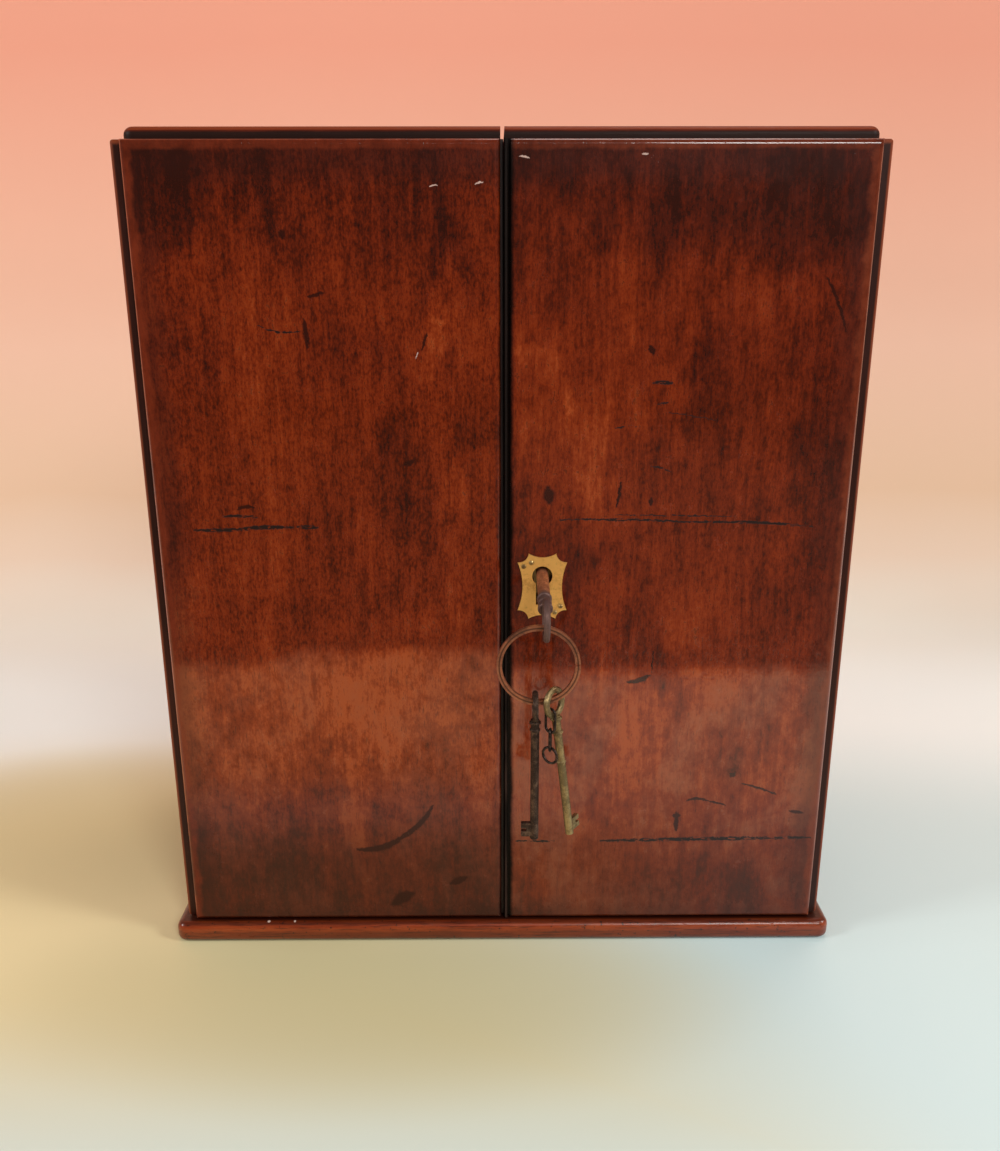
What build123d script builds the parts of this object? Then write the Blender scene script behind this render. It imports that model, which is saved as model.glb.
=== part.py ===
"""Upright mahogany stationery box: two deep doors that meet in the middle, a letter rack inside,
a cupboard lock with its key, and a bunch of keys on a split ring.  Millimetres, +Z up, X to the
right, front towards -Y.  The origin is the middle of the underside."""
from build123d import *
from math import cos, sin, sqrt, tan, radians
import os

os.makedirs("parts", exist_ok=True)

# ---------------------------------------------------------------- box and doors
FACE_WIDTH = 294.0            # both door fronts with the gap between them
FACE_HEIGHT = 345.4
MEETING_GAP = 1.6             # between the two doors
FLOOR_GAP = 0.8               # under a closed door
DOOR_DEPTH = 48.0             # wooden door box, without its front facing
CASE_DEPTH = 112.0
HINGE_GAP = 0.6               # between the back of a door and the case

FRONT_FACING = 4.0            # thick mahogany facings, each stopping at the arris of the box inside
SIDE_FACING = 4.8
TOP_FACING = 5.0
FRONT_ROUND = 2.2
SIDE_ROUND = 1.8
TOP_ROUND = 3.4
TOP_CORNER = 4.5

BASE_THICKNESS = 9.8
BASE_SIDE_OVERHANG = 4.5
BASE_FRONT_OVERHANG = 3.0
BASE_BACK_OVERHANG = 3.0
BASE_CORNER = 5.0             # in plan
BASE_TOP_ROUND = 3.4
BASE_UNDER_ROUND = 3.0
PAST = 1.0                    # how far a cut runs on past the face that it opens

# ---------------------------------------------------------------- boards
DOOR_BOARD = 6.0              # board behind the front facing
DOOR_STILE = 7.0
DOOR_RAIL = 7.0
CASE_WALL = 8.0
BACK_BOARD = 6.0
BACK_REBATE = 4.0
PAPER_RAIL = (35.0, 3.0)      # height and thickness of the slat that holds papers in a door
PAPER_RAIL_LIFT = 70.0        # above the foot of the door
PAPER_POCKET = 26.0           # behind the slat
GROOVE = 2.0                  # depth of every housing groove
GROOVE_PLAY = 0.1

# ---------------------------------------------------------------- letter rack
PIGEONHOLE_HEIGHT = 62.0
SHELF = 6.0
SHELF_SETBACK = 2.0
SHELF_PARTITION = 6.0
PEN_TRAY_DEPTH = 24.0
PEN_TRAY_HEIGHT = 12.0
PEN_TRAY_WALL = 2.5
PEN_TRAY_PLAY = 0.3
RACK_BOARD = 4.0
RACK_SPACE = 24.0
RACK_HEIGHTS = {"front": 105.0, "middle": 155.0, "rear": 205.0}
RACK_DIP = 14.0               # finger dip in the middle of each top edge
RACK_DIP_WIDTH = 150.0

# ---------------------------------------------------------------- meeting edges
QUIRK_WIDTH = 1.1
QUIRK_DEPTH = 2.0
BEAD_WIDTH = 1.3
BEAD_SETBACK = 0.5
BEAD_ROUND = 0.6
STRIP_THICKNESS = 1.1
STRIP_DEPTH = 5.0

# ---------------------------------------------------------------- hinges
HINGE_LENGTH = 50.0
HINGE_INSET = 45.0            # from the end of the door to the end of the hinge
HINGE_OFFSET = 3.0            # pin line outside the side facing
HINGE_REACH = 9.5             # how far the plate is let into the wood behind the facing
HINGE_PLATE = 1.3
HINGE_BARREL = 2.6
HINGE_PIN = 1.2
PIN_PLAY = 0.12
KNUCKLES = 3
KNUCKLE_PLAY = 0.15

# ---------------------------------------------------------------- screws
SMALL_SCREW = (1.9, 1.0, 7.0)     # head radius, shank radius, length
BASE_SCREW = (3.4, 1.7, 20.0)
BASE_SCREW_SINK = 0.3             # head below the underside
BASE_SCREW_SHARES = (0.15, 0.5, 0.85)
HINGE_SCREW_SHARES = (0.2, 0.8)
FITTING_SCREW = (1.5, 0.8, 5.0)   # lock, strike plate and slide bolt
SCREW_PLAY = 0.06
SLOT_SHARE = 0.28                 # slot width as a share of the head radius
SCREW_SIDES = 12

# ---------------------------------------------------------------- lock
KEYHOLE_X = 17.0              # from the middle of the face
KEYHOLE_HEIGHT = 171.0        # above the foot of the doors
KEYHOLE_R = 4.35
KEYHOLE_SLOT = 5.4
KEYHOLE_DROP = 13.0           # from the round part to the foot of the slot
WOOD_BORE_R = 5.3
WOOD_SLOT = 6.6
WOOD_DROP = 13.6
ESCUTCHEON = 0.9
ESCUTCHEON_RISE = 4.7         # the round of the keyhole above the middle of the plate
ESCUTCHEON_TIPS = (5.9, 14.6, 10.6, 10.7)       # half width and height: upper pair, then side pair
ESCUTCHEON_HOLLOWS = (12.9, (7.3, 11.8), 8.5)   # lowest point of the top, corner and side curves
ESCUTCHEON_PIN = (0.6, 1.0, 0.5, 0.4)           # shank radius, then foot, crown and height of its head
ESCUTCHEON_PIN_SPOTS = ((-8.0, 9.0), (-4.9, 10.7), (8.0, -9.0), (5.6, -11.7))
KEY_DROOP = 12.0              # degrees: the key sags in its worn hole
LOCK_PLATE = 1.0
SELVEDGE = 1.5
SELVEDGE_EXTRA = 7.0          # selvedge above and below the lock case
LOCK_CAVITY = 10.8            # inside depth
LOCK_FLOOR_ROOM = 2.4         # between the turning bit and the floor of the lock
LOCK_ROOF_ROOM = 1.4
LOCK_END_ROOM = 2.6
LOCK_HOLE_PLAY = 0.7
BOLT_DEPTH = 4.6
BOLT_PLAY = 0.3
BOLT_LENGTH = 36.0
BOLT_HEIGHT = 7.5
BOLT_THROW = 6.0
BOLT_NOSE_ROUND = 0.8
TALON_HEIGHT = 3.7
TALON_WIDTH = 20.8
TALON_ROOM = 0.9              # between the turning bit and the top of the talon
STRIKE_PLATE = 1.2
STRIKE_MARGIN = 7.0           # above and below the bolt
STRIKE_BEHIND = 3.0
STRIKE_SCREW_EDGE = 3.15

# ---------------------------------------------------------------- keys and ring
KEY_SHANK_R = 2.6
KEY_NOSE = 20.4               # behind the plane of the escutcheon
KEY_BIT_END = 19.2
KEY_BIT_WIDTH = 4.6
KEY_BIT_REACH = 10.4
KEY_BIT_THICKNESS = 2.4
KEY_NECK = 18.8               # where the turned collars start, in front of the escutcheon
KEY_BOW_PLACE = 36.8
KEY_BOW_R = 9.0
KEY_BOW_HOLE = 5.5
KEY_BOW_THICKNESS = 2.6
KEY_COLLARS = ((0.0, 3.1), (0.45, 2.9), (0.9, 3.1))   # share of the neck, radius
KEY_COLLAR = 1.6
KEY_WARD = (-17.5, 1.0, 3.95)  # slit across the bit: place, width and depth
BOW_OVERLAP = 1.4              # how far a shank runs into its bow
BOW_BEVEL = 0.28               # as a share of a bow's thickness
COLLAR_BEVEL = 0.3             # as a share of a collar's height

RING_R = 17.0
RING_BAND = 2.2
RING_TURN = 0.9               # thickness of one of the ring's two turns
RING_TURN_PLAY = 0.06
RING_SHIFT = 2.9              # the ring hangs a little to the left of the key
HANG_PLAY = 0.3

IRON_KEY_X = 12.9
BRASS_KEY_X = 20.1
BRASS_KEY_TWIST = 38.0        # degrees about its own length
BRASS_KEY_LEAN = 7.0
SMALL_KEY_LENGTH = 67.0
SMALL_BOW_R = 6.6
SMALL_BOW_HOLE = 4.0
SMALL_BOW_THICKNESS = 2.2
SMALL_SHANK_R = 1.75
SMALL_OVERLAP = 1.0
SMALL_COLLAR = 1.3
IRON_COLLARS = ((0.4, 2.4), (3.6, 2.2))               # below the bow, radius
BRASS_COLLARS = ((0.4, 2.5), (6.6, 2.3), (20.0, 2.1))
IRON_BIT = (5.6, 2.0, 1.2, 6.2)                       # reach, thickness, above the foot, height
IRON_WARD = (3.4, 3.6, 1.3)                           # starts at this reach, above the foot, height
BRASS_BIT = (6.4, 1.8, 0.8, 5.2)
BRASS_WARD = (4.0, 2.8, 1.2)
BRASS_BARREL = (1.0, 15.0)                            # radius and depth of the bore in the foot

LINK_WIRE_R = 0.55
WIRE_SIDES = 8                 # small wire and screws are many-sided, not round
UPPER_LINK = (5.6, 11.5)      # width and height
LOWER_LINK = (4.2, 10.5)
SMALL_RING_R = 4.0
LOWER_LINK_TURN = 80.0
LINK_PLAY = 0.15
LINK_SEAT = 62.0               # degrees from the foot of the brass bow, towards the front

# ---------------------------------------------------------------- left door's slide bolt
SLIDE_BOLT = (4.4, 6.0, 46.0)     # flat bar: thickness, width and length
SLIDE_BOLT_PLAY = 0.3
SLIDE_BOLT_THROW = 6.0
SLIDE_PLATE = 1.2
SLIDE_PLATE_SIZE = (13.0, 40.0)
SLIDE_STAPLE = (1.2, 6.0)         # wall and height of the staples that guide the bar
SLIDE_BEHIND = 12.0               # middle of the bar from the back edge of the door
SLIDE_LIFT = 4.0                  # plate above the bottom rail
SLIDE_REST = 0.5                  # foot of the drawn bolt above the foot of the door
SLIDE_KNOB_HEIGHT = 3.0           # above the middle of the plate
SLIDE_KNOB = ((0, 0), (1.2, 0), (1.2, 2.6), (2.6, 4.2), (2.6, 5.4), (1.7, 6.8), (0, 6.8))
SLIDE_SCREWS = ((-0.38, 0.3), (0.38, 0.7))   # across and up the plate, as shares of its size
SLIDE_BEVEL = 0.8

# ---------------------------------------------------------------- planes worked out from the sizes
HALF_CORE = FACE_WIDTH / 2
HALF_BODY = HALF_CORE + SIDE_FACING
DOOR_EDGE = MEETING_GAP / 2
BASE_DEPTH = (BASE_FRONT_OVERHANG + FRONT_FACING + DOOR_DEPTH + HINGE_GAP + CASE_DEPTH
              + BASE_BACK_OVERHANG)
FACE_Y = BASE_FRONT_OVERHANG - BASE_DEPTH / 2
CORE_Y = FACE_Y + FRONT_FACING
BOARD_Y = CORE_Y + DOOR_BOARD
DOOR_BACK_Y = BOARD_Y + DOOR_DEPTH - DOOR_BOARD
CASE_Y = DOOR_BACK_Y + HINGE_GAP
CASE_BACK_Y = CASE_Y + CASE_DEPTH
BACK_Y = CASE_BACK_Y - BACK_BOARD
DOOR_Z = BASE_THICKNESS + FLOOR_GAP
CORE_TOP = DOOR_Z + FACE_HEIGHT
TOP_Z = CORE_TOP + TOP_FACING
CASE_INSIDE = HALF_CORE - CASE_WALL
AXIS_X = HALF_BODY + HINGE_OFFSET
AXIS_Y = (DOOR_BACK_Y + CASE_Y) / 2
HINGE_FEET = (DOOR_Z + HINGE_INSET, CORE_TOP - HINGE_INSET - HINGE_LENGTH)
HINGE_INNER_X = HALF_BODY - HINGE_REACH
SHELF_Z = BASE_THICKNESS + CASE_WALL + PIGEONHOLE_HEIGHT
SHELF_TOP = SHELF_Z + SHELF
STILE_INSIDE = HALF_CORE - DOOR_STILE
MEETING_INSIDE = DOOR_EDGE + DOOR_STILE
RAIL_Z = DOOR_Z + PAPER_RAIL_LIFT
RAIL_Y = BOARD_Y + PAPER_POCKET
SLIDE_X = -MEETING_INSIDE - SLIDE_PLATE - SLIDE_BOLT_PLAY - SLIDE_BOLT[0]
SLIDE_Y = DOOR_BACK_Y - SLIDE_BEHIND
SLIDE_PLATE_Z = DOOR_Z + DOOR_RAIL + SLIDE_LIFT

KEY_Z = DOOR_Z + KEYHOLE_HEIGHT
ESCUTCHEON_Y = FACE_Y - ESCUTCHEON
LOCK_Y = BOARD_Y + LOCK_PLATE                  # inner face of the lock's front plate
LOCK_CAP_Y = LOCK_Y + LOCK_CAVITY
BOLT_Y = LOCK_Y + BOLT_PLAY


def key_axis_z(y):
    """Height of the drooping key's axis at a depth."""
    return KEY_Z + (y - ESCUTCHEON_Y) * tan(radians(KEY_DROOP))


LOCK_Z = key_axis_z(BOLT_Y + BOLT_DEPTH / 2)
BOLT_Z = LOCK_Z + KEY_BIT_REACH + TALON_ROOM - TALON_HEIGHT
LOCK_LOW = LOCK_Z - KEY_BIT_REACH - LOCK_FLOOR_ROOM
LOCK_HIGH = BOLT_Z + BOLT_HEIGHT + LOCK_ROOF_ROOM
LOCK_INNER_X = DOOR_EDGE + SELVEDGE
LOCK_END_X = DOOR_EDGE + BOLT_LENGTH + LOCK_END_ROOM


# ---------------------------------------------------------------- small helpers
def block(x, y, z):
    """A board given by its low and high corner along each axis."""
    middle = [(low + high) / 2 for low, high in (x, y, z)]
    return Pos(*middle) * Box(x[1] - x[0], y[1] - y[0], z[1] - z[0])


def rod(radius, point, length, turn=(0, 0, 0)):
    """A round rod that starts at a point and runs along +Z, turned first."""
    return Pos(*point) * Rot(*turn) * Pos(0, 0, length / 2) * Cylinder(radius, length)


TOWARDS = {"+X": (0, 90, 0), "-X": (0, -90, 0), "+Y": (-90, 0, 0), "-Y": (90, 0, 0),
           "+Z": (0, 0, 0), "-Z": (180, 0, 0)}


def turned(profile, sides):
    """A small turned piece with flat sides, given by radius and height up its axis."""
    rings = [Pos(0, 0, z) * RegularPolygon(radius, sides) for radius, z in profile]
    whole = loft(rings[:2], ruled=True)
    for low, high in zip(rings[1:], rings[2:]):
        whole += loft([low, high], ruled=True)
    return whole


def screw(size, point, towards, play=0.0):
    """A countersunk screw, or with play the hole that takes it."""
    head_r, shank_r, length = size
    head = head_r - shank_r
    shank = shank_r + play
    solid = turned([(head_r + play, 0), (shank, head), (shank, length + play)], SCREW_SIDES)
    if not play:
        solid -= Box(2.2 * head_r, SLOT_SHARE * head_r, head)
    return Pos(*point) * Rot(*TOWARDS[towards]) * solid


def to_left(shape):
    return mirror(shape, about=Plane.YZ)


def save(name, *solids):
    """Write one node; identical pieces share it as separate solids."""
    parts = []
    for solid in solids:
        parts += solid.solids()
    whole = parts[0] if len(parts) == 1 else Compound(children=parts)
    whole.label = name
    export_step(whole, f"parts/{name}.step")


# ---------------------------------------------------------------- base and case
def base_board():
    half = HALF_BODY + BASE_SIDE_OVERHANG
    board = block((-half, half), (-BASE_DEPTH / 2, BASE_DEPTH / 2), (0, BASE_THICKNESS))
    board = fillet(board.edges().filter_by(Axis.Z), BASE_CORNER)
    board = fillet(board.faces().sort_by(Axis.Z)[-1].edges(), BASE_TOP_ROUND)
    board = fillet(board.faces().sort_by(Axis.Z)[0].edges(), BASE_UNDER_ROUND)
    board -= slide_bolt_hole(BASE_THICKNESS - SLIDE_BOLT_THROW - SLIDE_BOLT_PLAY, BASE_THICKNESS + PAST)
    for place in base_screw_places():
        board -= screw(BASE_SCREW, place, "+Z", SCREW_PLAY)
    return board


def base_screw_places():
    x = HALF_CORE - CASE_WALL / 2
    rows = [CASE_Y + CASE_DEPTH * share for share in BASE_SCREW_SHARES]
    return [(side * x, y, BASE_SCREW_SINK) for side in (-1, 1) for y in rows]


def case_side():
    side = block((CASE_INSIDE, HALF_CORE), (CASE_Y, CASE_BACK_Y), (BASE_THICKNESS, CORE_TOP))
    side -= block((CASE_INSIDE - PAST, CASE_INSIDE + BACK_REBATE), (BACK_Y, CASE_BACK_Y + PAST),
                  (BASE_THICKNESS - PAST, CORE_TOP + PAST))
    side -= groove(shelf_span(), (SHELF_Z, SHELF_TOP))
    for name, y in rack_places().items():
        side -= groove((y, y + RACK_BOARD), (SHELF_TOP, SHELF_TOP + RACK_HEIGHTS[name]))
    for place in base_screw_places():
        side -= screw(BASE_SCREW, place, "+Z", SCREW_PLAY)
    return side - hinge_seat(True)


def groove(y, z):
    """A housing in the right-hand side of the case."""
    return block((CASE_INSIDE - PAST, CASE_INSIDE + GROOVE), (y[0] - GROOVE_PLAY, y[1] + GROOVE_PLAY), z)


def case_side_facing():
    facing = block((HALF_CORE, HALF_BODY), (CASE_Y, CASE_BACK_Y), (BASE_THICKNESS, CORE_TOP))
    outer = facing.faces().sort_by(Axis.X)[-1].edges()
    top = outer.filter_by(Axis.Y).sort_by(Axis.Z)[-1:]
    back = outer.filter_by(Axis.Z).sort_by(Axis.Y)[-1:]
    facing = fillet(top + back, SIDE_ROUND)
    return facing - hinge_seat(True)


def case_top():
    top = block((-CASE_INSIDE, CASE_INSIDE), (CASE_Y, CASE_BACK_Y), (CORE_TOP - CASE_WALL, CORE_TOP))
    return top - block((-CASE_INSIDE - PAST, CASE_INSIDE + PAST), (BACK_Y, CASE_BACK_Y + PAST),
                       (CORE_TOP - CASE_WALL - PAST, CORE_TOP - CASE_WALL + BACK_REBATE))


def case_top_facing():
    facing = block((-HALF_CORE, HALF_CORE), (CASE_Y, CASE_BACK_Y), (CORE_TOP, TOP_Z))
    facing = fillet(facing.edges().filter_by(Axis.Z).sort_by(Axis.Y)[-2:], TOP_CORNER)
    rounded = facing.faces().sort_by(Axis.Z)[-1].edges().sort_by(Axis.Y)[1:]
    return fillet(rounded, TOP_ROUND)


def case_bottom():
    return block((-CASE_INSIDE, CASE_INSIDE), (CASE_Y, BACK_Y), (BASE_THICKNESS, BASE_THICKNESS + CASE_WALL))


def case_back():
    half = CASE_INSIDE + BACK_REBATE
    return block((-half, half), (BACK_Y, CASE_BACK_Y), (BASE_THICKNESS, CORE_TOP - CASE_WALL + BACK_REBATE))


# ---------------------------------------------------------------- letter rack
def shelf_span():
    return (CASE_Y + SHELF_SETBACK, BACK_Y)


def rack_places():
    """Front face of each rack board."""
    first = CASE_Y + SHELF_SETBACK + PEN_TRAY_DEPTH + PEN_TRAY_PLAY
    return {name: first + number * (RACK_BOARD + RACK_SPACE) for number, name in enumerate(RACK_HEIGHTS)}


def shelf():
    half = CASE_INSIDE + GROOVE - GROOVE_PLAY
    return block((-half, half), shelf_span(), (SHELF_Z, SHELF_TOP))


def shelf_partition():
    half = SHELF_PARTITION / 2
    return block((-half, half), shelf_span(), (BASE_THICKNESS + CASE_WALL, SHELF_Z))


def letter_divider(y, height):
    """A rack board whose top edge dips in a long curve for the fingers."""
    half = CASE_INSIDE + GROOVE - GROOVE_PLAY
    dip = RACK_DIP_WIDTH / 2
    outline = Polyline((-dip, height), (-half, height), (-half, 0),
                       (half, 0), (half, height), (dip, height))
    outline += ThreePointArc((dip, height), (0, height - RACK_DIP), (-dip, height))
    board = extrude(make_face(Plane.XZ * outline), RACK_BOARD)
    return Pos(0, y + RACK_BOARD, SHELF_TOP) * board


def pen_tray():
    """A long block hollowed to a round-bottomed trough."""
    half = CASE_INSIDE - PEN_TRAY_PLAY
    front = CASE_Y + SHELF_SETBACK
    top = SHELF_TOP + PEN_TRAY_HEIGHT
    tray = block((-half, half), (front, front + PEN_TRAY_DEPTH), (SHELF_TOP, top))
    width = PEN_TRAY_DEPTH - 2 * PEN_TRAY_WALL
    sag = PEN_TRAY_HEIGHT - PEN_TRAY_WALL
    radius = (width * width / 4 + sag * sag) / (2 * sag)
    trough = Rot(0, 90, 0) * Cylinder(radius, 2 * (half - PEN_TRAY_WALL))
    return tray - Pos(0, front + PEN_TRAY_DEPTH / 2, top - sag + radius) * trough


# ---------------------------------------------------------------- hinges, drawn for the right door
def hinge_band(foot, number):
    pitch = HINGE_LENGTH / KNUCKLES
    return foot + number * pitch, pitch


def hinge_half(foot, fixed):
    """One plate with its own knuckles, bored for the pin."""
    plate_y = (CASE_Y, CASE_Y + HINGE_PLATE) if fixed else (DOOR_BACK_Y - HINGE_PLATE, DOOR_BACK_Y)
    half = block((HINGE_INNER_X, AXIS_X), plate_y, (foot, foot + HINGE_LENGTH))
    for number in range(KNUCKLES):
        low, pitch = hinge_band(foot, number)
        if (number % 2 == 0) == fixed:
            half += rod(HINGE_BARREL, (AXIS_X, AXIS_Y, low), pitch)
    for number in range(KNUCKLES):
        low, pitch = hinge_band(foot, number)
        if (number % 2 == 0) != fixed:
            half -= rod(HINGE_BARREL + KNUCKLE_PLAY, (AXIS_X, AXIS_Y, low - KNUCKLE_PLAY),
                        pitch + 2 * KNUCKLE_PLAY)
    half -= rod(HINGE_PIN + PIN_PLAY, (AXIS_X, AXIS_Y, foot - PAST), HINGE_LENGTH + 2 * PAST)
    for place in hinge_screw_places(foot, fixed):
        half -= screw(SMALL_SCREW, place, "+Y" if fixed else "-Y", SCREW_PLAY)
    return half


def hinge_screw_places(foot, fixed):
    x = HALF_CORE - CASE_WALL / 2
    y = CASE_Y if fixed else DOOR_BACK_Y
    return [(x, y, foot + HINGE_LENGTH * share) for share in HINGE_SCREW_SHARES]


def hinge_pin(foot):
    return rod(HINGE_PIN, (AXIS_X, AXIS_Y, foot), HINGE_LENGTH)


def hinge_screws(fixed, play=0.0):
    """Screws of both hinges, or with play their holes."""
    towards = "+Y" if fixed else "-Y"
    places = [place for foot in HINGE_FEET for place in hinge_screw_places(foot, fixed)]
    return [screw(SMALL_SCREW, place, towards, play) for place in places]


def hinge_seat(fixed):
    """Recesses that the plates are let into, with the holes for their screws."""
    y = (CASE_Y - PAST, CASE_Y + HINGE_PLATE) if fixed else (DOOR_BACK_Y - HINGE_PLATE, DOOR_BACK_Y + PAST)
    seats = [block((HINGE_INNER_X, HALF_BODY + PAST), y, (foot, foot + HINGE_LENGTH)) for foot in HINGE_FEET]
    return Compound(children=seats + hinge_screws(fixed, SCREW_PLAY))


# ---------------------------------------------------------------- doors, drawn for the right one
def door_board():
    return block((DOOR_EDGE, HALF_CORE), (CORE_Y, BOARD_Y), (DOOR_Z, CORE_TOP))


def paper_rail_groove(x):
    height, thickness = PAPER_RAIL
    return block(x, (RAIL_Y - GROOVE_PLAY, RAIL_Y + thickness + GROOVE_PLAY), (RAIL_Z, RAIL_Z + height))


def hinge_stile():
    stile = block((STILE_INSIDE, HALF_CORE), (BOARD_Y, DOOR_BACK_Y), (DOOR_Z, CORE_TOP))
    return stile - paper_rail_groove((STILE_INSIDE - PAST, STILE_INSIDE + GROOVE)) - hinge_seat(False)


def meeting_stile():
    stile = block((DOOR_EDGE, MEETING_INSIDE), (BOARD_Y, DOOR_BACK_Y), (DOOR_Z, CORE_TOP))
    return stile - paper_rail_groove((MEETING_INSIDE - GROOVE, MEETING_INSIDE + PAST))


def door_rail(low):
    return block((MEETING_INSIDE, STILE_INSIDE), (BOARD_Y, DOOR_BACK_Y), (low, low + DOOR_RAIL))


def paper_rail():
    height, thickness = PAPER_RAIL
    reach = GROOVE - GROOVE_PLAY
    return block((MEETING_INSIDE - reach, STILE_INSIDE + reach), (RAIL_Y, RAIL_Y + thickness),
                 (RAIL_Z, RAIL_Z + height))


def front_facing():
    facing = block((DOOR_EDGE, HALF_CORE), (FACE_Y, CORE_Y), (DOOR_Z, CORE_TOP))
    return fillet(facing.faces().sort_by(Axis.Y)[0].edges(), FRONT_ROUND)


def door_side_facing():
    facing = block((HALF_CORE, HALF_BODY), (CORE_Y, DOOR_BACK_Y), (DOOR_Z, CORE_TOP))
    outer = facing.faces().sort_by(Axis.X)[-1].edges()
    facing = fillet(outer.filter_by(Axis.Y) + outer.filter_by(Axis.Z).sort_by(Axis.Y)[:1], SIDE_ROUND)
    return facing - hinge_seat(False)


def door_top_facing():
    facing = block((DOOR_EDGE, HALF_CORE), (CORE_Y, DOOR_BACK_Y), (CORE_TOP, TOP_Z))
    corner = facing.edges().filter_by(Axis.Z).sort_by(Axis.Y)[:2].sort_by(Axis.X)[-1:]
    facing = fillet(corner, TOP_CORNER)
    top = facing.faces().sort_by(Axis.Z)[-1].edges()
    rounded = top.filter_by_position(Axis.Y, CORE_Y - PAST, DOOR_BACK_Y - PAST)
    rounded = rounded.filter_by_position(Axis.X, DOOR_EDGE + PAST, HALF_CORE + PAST)
    return fillet(rounded, TOP_ROUND)


# ---------------------------------------------------------------- what differs on the right door
def right_front_facing():
    """The lock door's facing is quirked beside its bead, and bored for the key."""
    facing = front_facing()
    z = (DOOR_Z - PAST, CORE_TOP + PAST)
    bead_x = DOOR_EDGE + BEAD_WIDTH
    facing -= block((DOOR_EDGE - PAST, bead_x), (FACE_Y - PAST, CORE_Y + PAST), z)
    facing -= block((DOOR_EDGE, bead_x + QUIRK_WIDTH), (FACE_Y - PAST, FACE_Y + QUIRK_DEPTH), z)
    return facing - wood_keyhole()


def meeting_bead():
    """A half-round bead along the meeting edge of the lock door."""
    bead = block((DOOR_EDGE, DOOR_EDGE + BEAD_WIDTH), (FACE_Y + BEAD_SETBACK, CORE_Y), (DOOR_Z, CORE_TOP))
    front = bead.faces().sort_by(Axis.Y)[0].edges().filter_by(Axis.Z)
    return fillet(front, BEAD_ROUND)


def keyhole(round_r, slot, drop):
    """Keyhole outline in the XZ plane, its round part at the origin."""
    hole = Circle(round_r) + Pos(0, -drop / 2) * Rectangle(slot, drop)
    return hole


def wood_keyhole():
    outline = keyhole(WOOD_BORE_R, WOOD_SLOT, WOOD_DROP)
    hole = extrude(Plane.XZ * outline, FRONT_FACING + DOOR_BOARD + 2 * PAST)
    return Pos(KEYHOLE_X, BOARD_Y + PAST, KEY_Z) * hole


def lock_height():
    return (LOCK_LOW - LOCK_PLATE, LOCK_HIGH + LOCK_PLATE)


def lock_body():
    """Space that the lock takes in the wood."""
    return block((DOOR_EDGE - PAST, LOCK_END_X), (BOARD_Y, LOCK_CAP_Y + LOCK_PLATE), lock_height())


def selvedge(play=0.0):
    return block((DOOR_EDGE - play, LOCK_INNER_X), (BOARD_Y, LOCK_CAP_Y + LOCK_PLATE),
                 (LOCK_LOW - SELVEDGE_EXTRA, LOCK_HIGH + SELVEDGE_EXTRA))


def selvedge_screw_places():
    y = (BOARD_Y + LOCK_CAP_Y + LOCK_PLATE) / 2
    reach = SELVEDGE_EXTRA / 2 + LOCK_PLATE / 2
    return [(DOOR_EDGE, y, LOCK_LOW - reach), (DOOR_EDGE, y, LOCK_HIGH + reach)]


def right_meeting_stile():
    stile = meeting_stile() - lock_body() - selvedge(PAST)
    for place in selvedge_screw_places():
        stile -= screw(FITTING_SCREW, place, "+X", SCREW_PLAY)
    return stile


def lock_case():
    """Selvedge, front plate and walls of the lock in one casting, open behind."""
    walls = block((LOCK_INNER_X, LOCK_END_X), (BOARD_Y, LOCK_CAP_Y), lock_height())
    hollow_x = (LOCK_INNER_X - PAST, LOCK_END_X - LOCK_PLATE)
    walls -= block(hollow_x, (LOCK_Y, LOCK_CAP_Y + PAST), (LOCK_LOW, LOCK_HIGH))
    case = walls + selvedge() - bolt_space((DOOR_EDGE - PAST, LOCK_INNER_X))
    slot = KEY_BIT_THICKNESS + 2 * LOCK_HOLE_PLAY
    outline = keyhole(KEY_SHANK_R + LOCK_HOLE_PLAY, slot, KEY_BIT_REACH + LOCK_HOLE_PLAY)
    hole = extrude(Plane.XZ * outline, LOCK_PLATE + 2 * PAST)
    case -= Pos(KEYHOLE_X, LOCK_Y + PAST, key_axis_z(BOARD_Y + LOCK_PLATE / 2)) * hole
    for place in selvedge_screw_places():
        case -= screw(FITTING_SCREW, place, "+X", SCREW_PLAY)
    return case


def lock_cap():
    return block((LOCK_INNER_X, LOCK_END_X), (LOCK_CAP_Y, LOCK_CAP_Y + LOCK_PLATE), lock_height())


def bolt_space(x):
    """Opening that the bolt slides through."""
    play = BOLT_PLAY
    return block(x, (BOLT_Y - play, BOLT_Y + BOLT_DEPTH + play), (BOLT_Z - play, BOLT_Z + BOLT_HEIGHT + play))


def lock_bolt():
    """Sliding bolt, drawn back; the key's bit passes through the talon in its lower edge."""
    nose = DOOR_EDGE + BOLT_PLAY
    bolt = block((nose, nose + BOLT_LENGTH), (BOLT_Y, BOLT_Y + BOLT_DEPTH), (BOLT_Z, BOLT_Z + BOLT_HEIGHT))
    bolt = fillet(bolt.faces().sort_by(Axis.X)[0].edges().filter_by(Axis.Y), BOLT_NOSE_ROUND)
    middle = KEYHOLE_X + BOLT_THROW / 2
    talon = (middle - TALON_WIDTH / 2, middle + TALON_WIDTH / 2)
    y = (BOLT_Y - PAST, BOLT_Y + BOLT_DEPTH + PAST)
    return bolt - block(talon, y, (BOLT_Z - PAST, BOLT_Z + TALON_HEIGHT))


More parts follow.
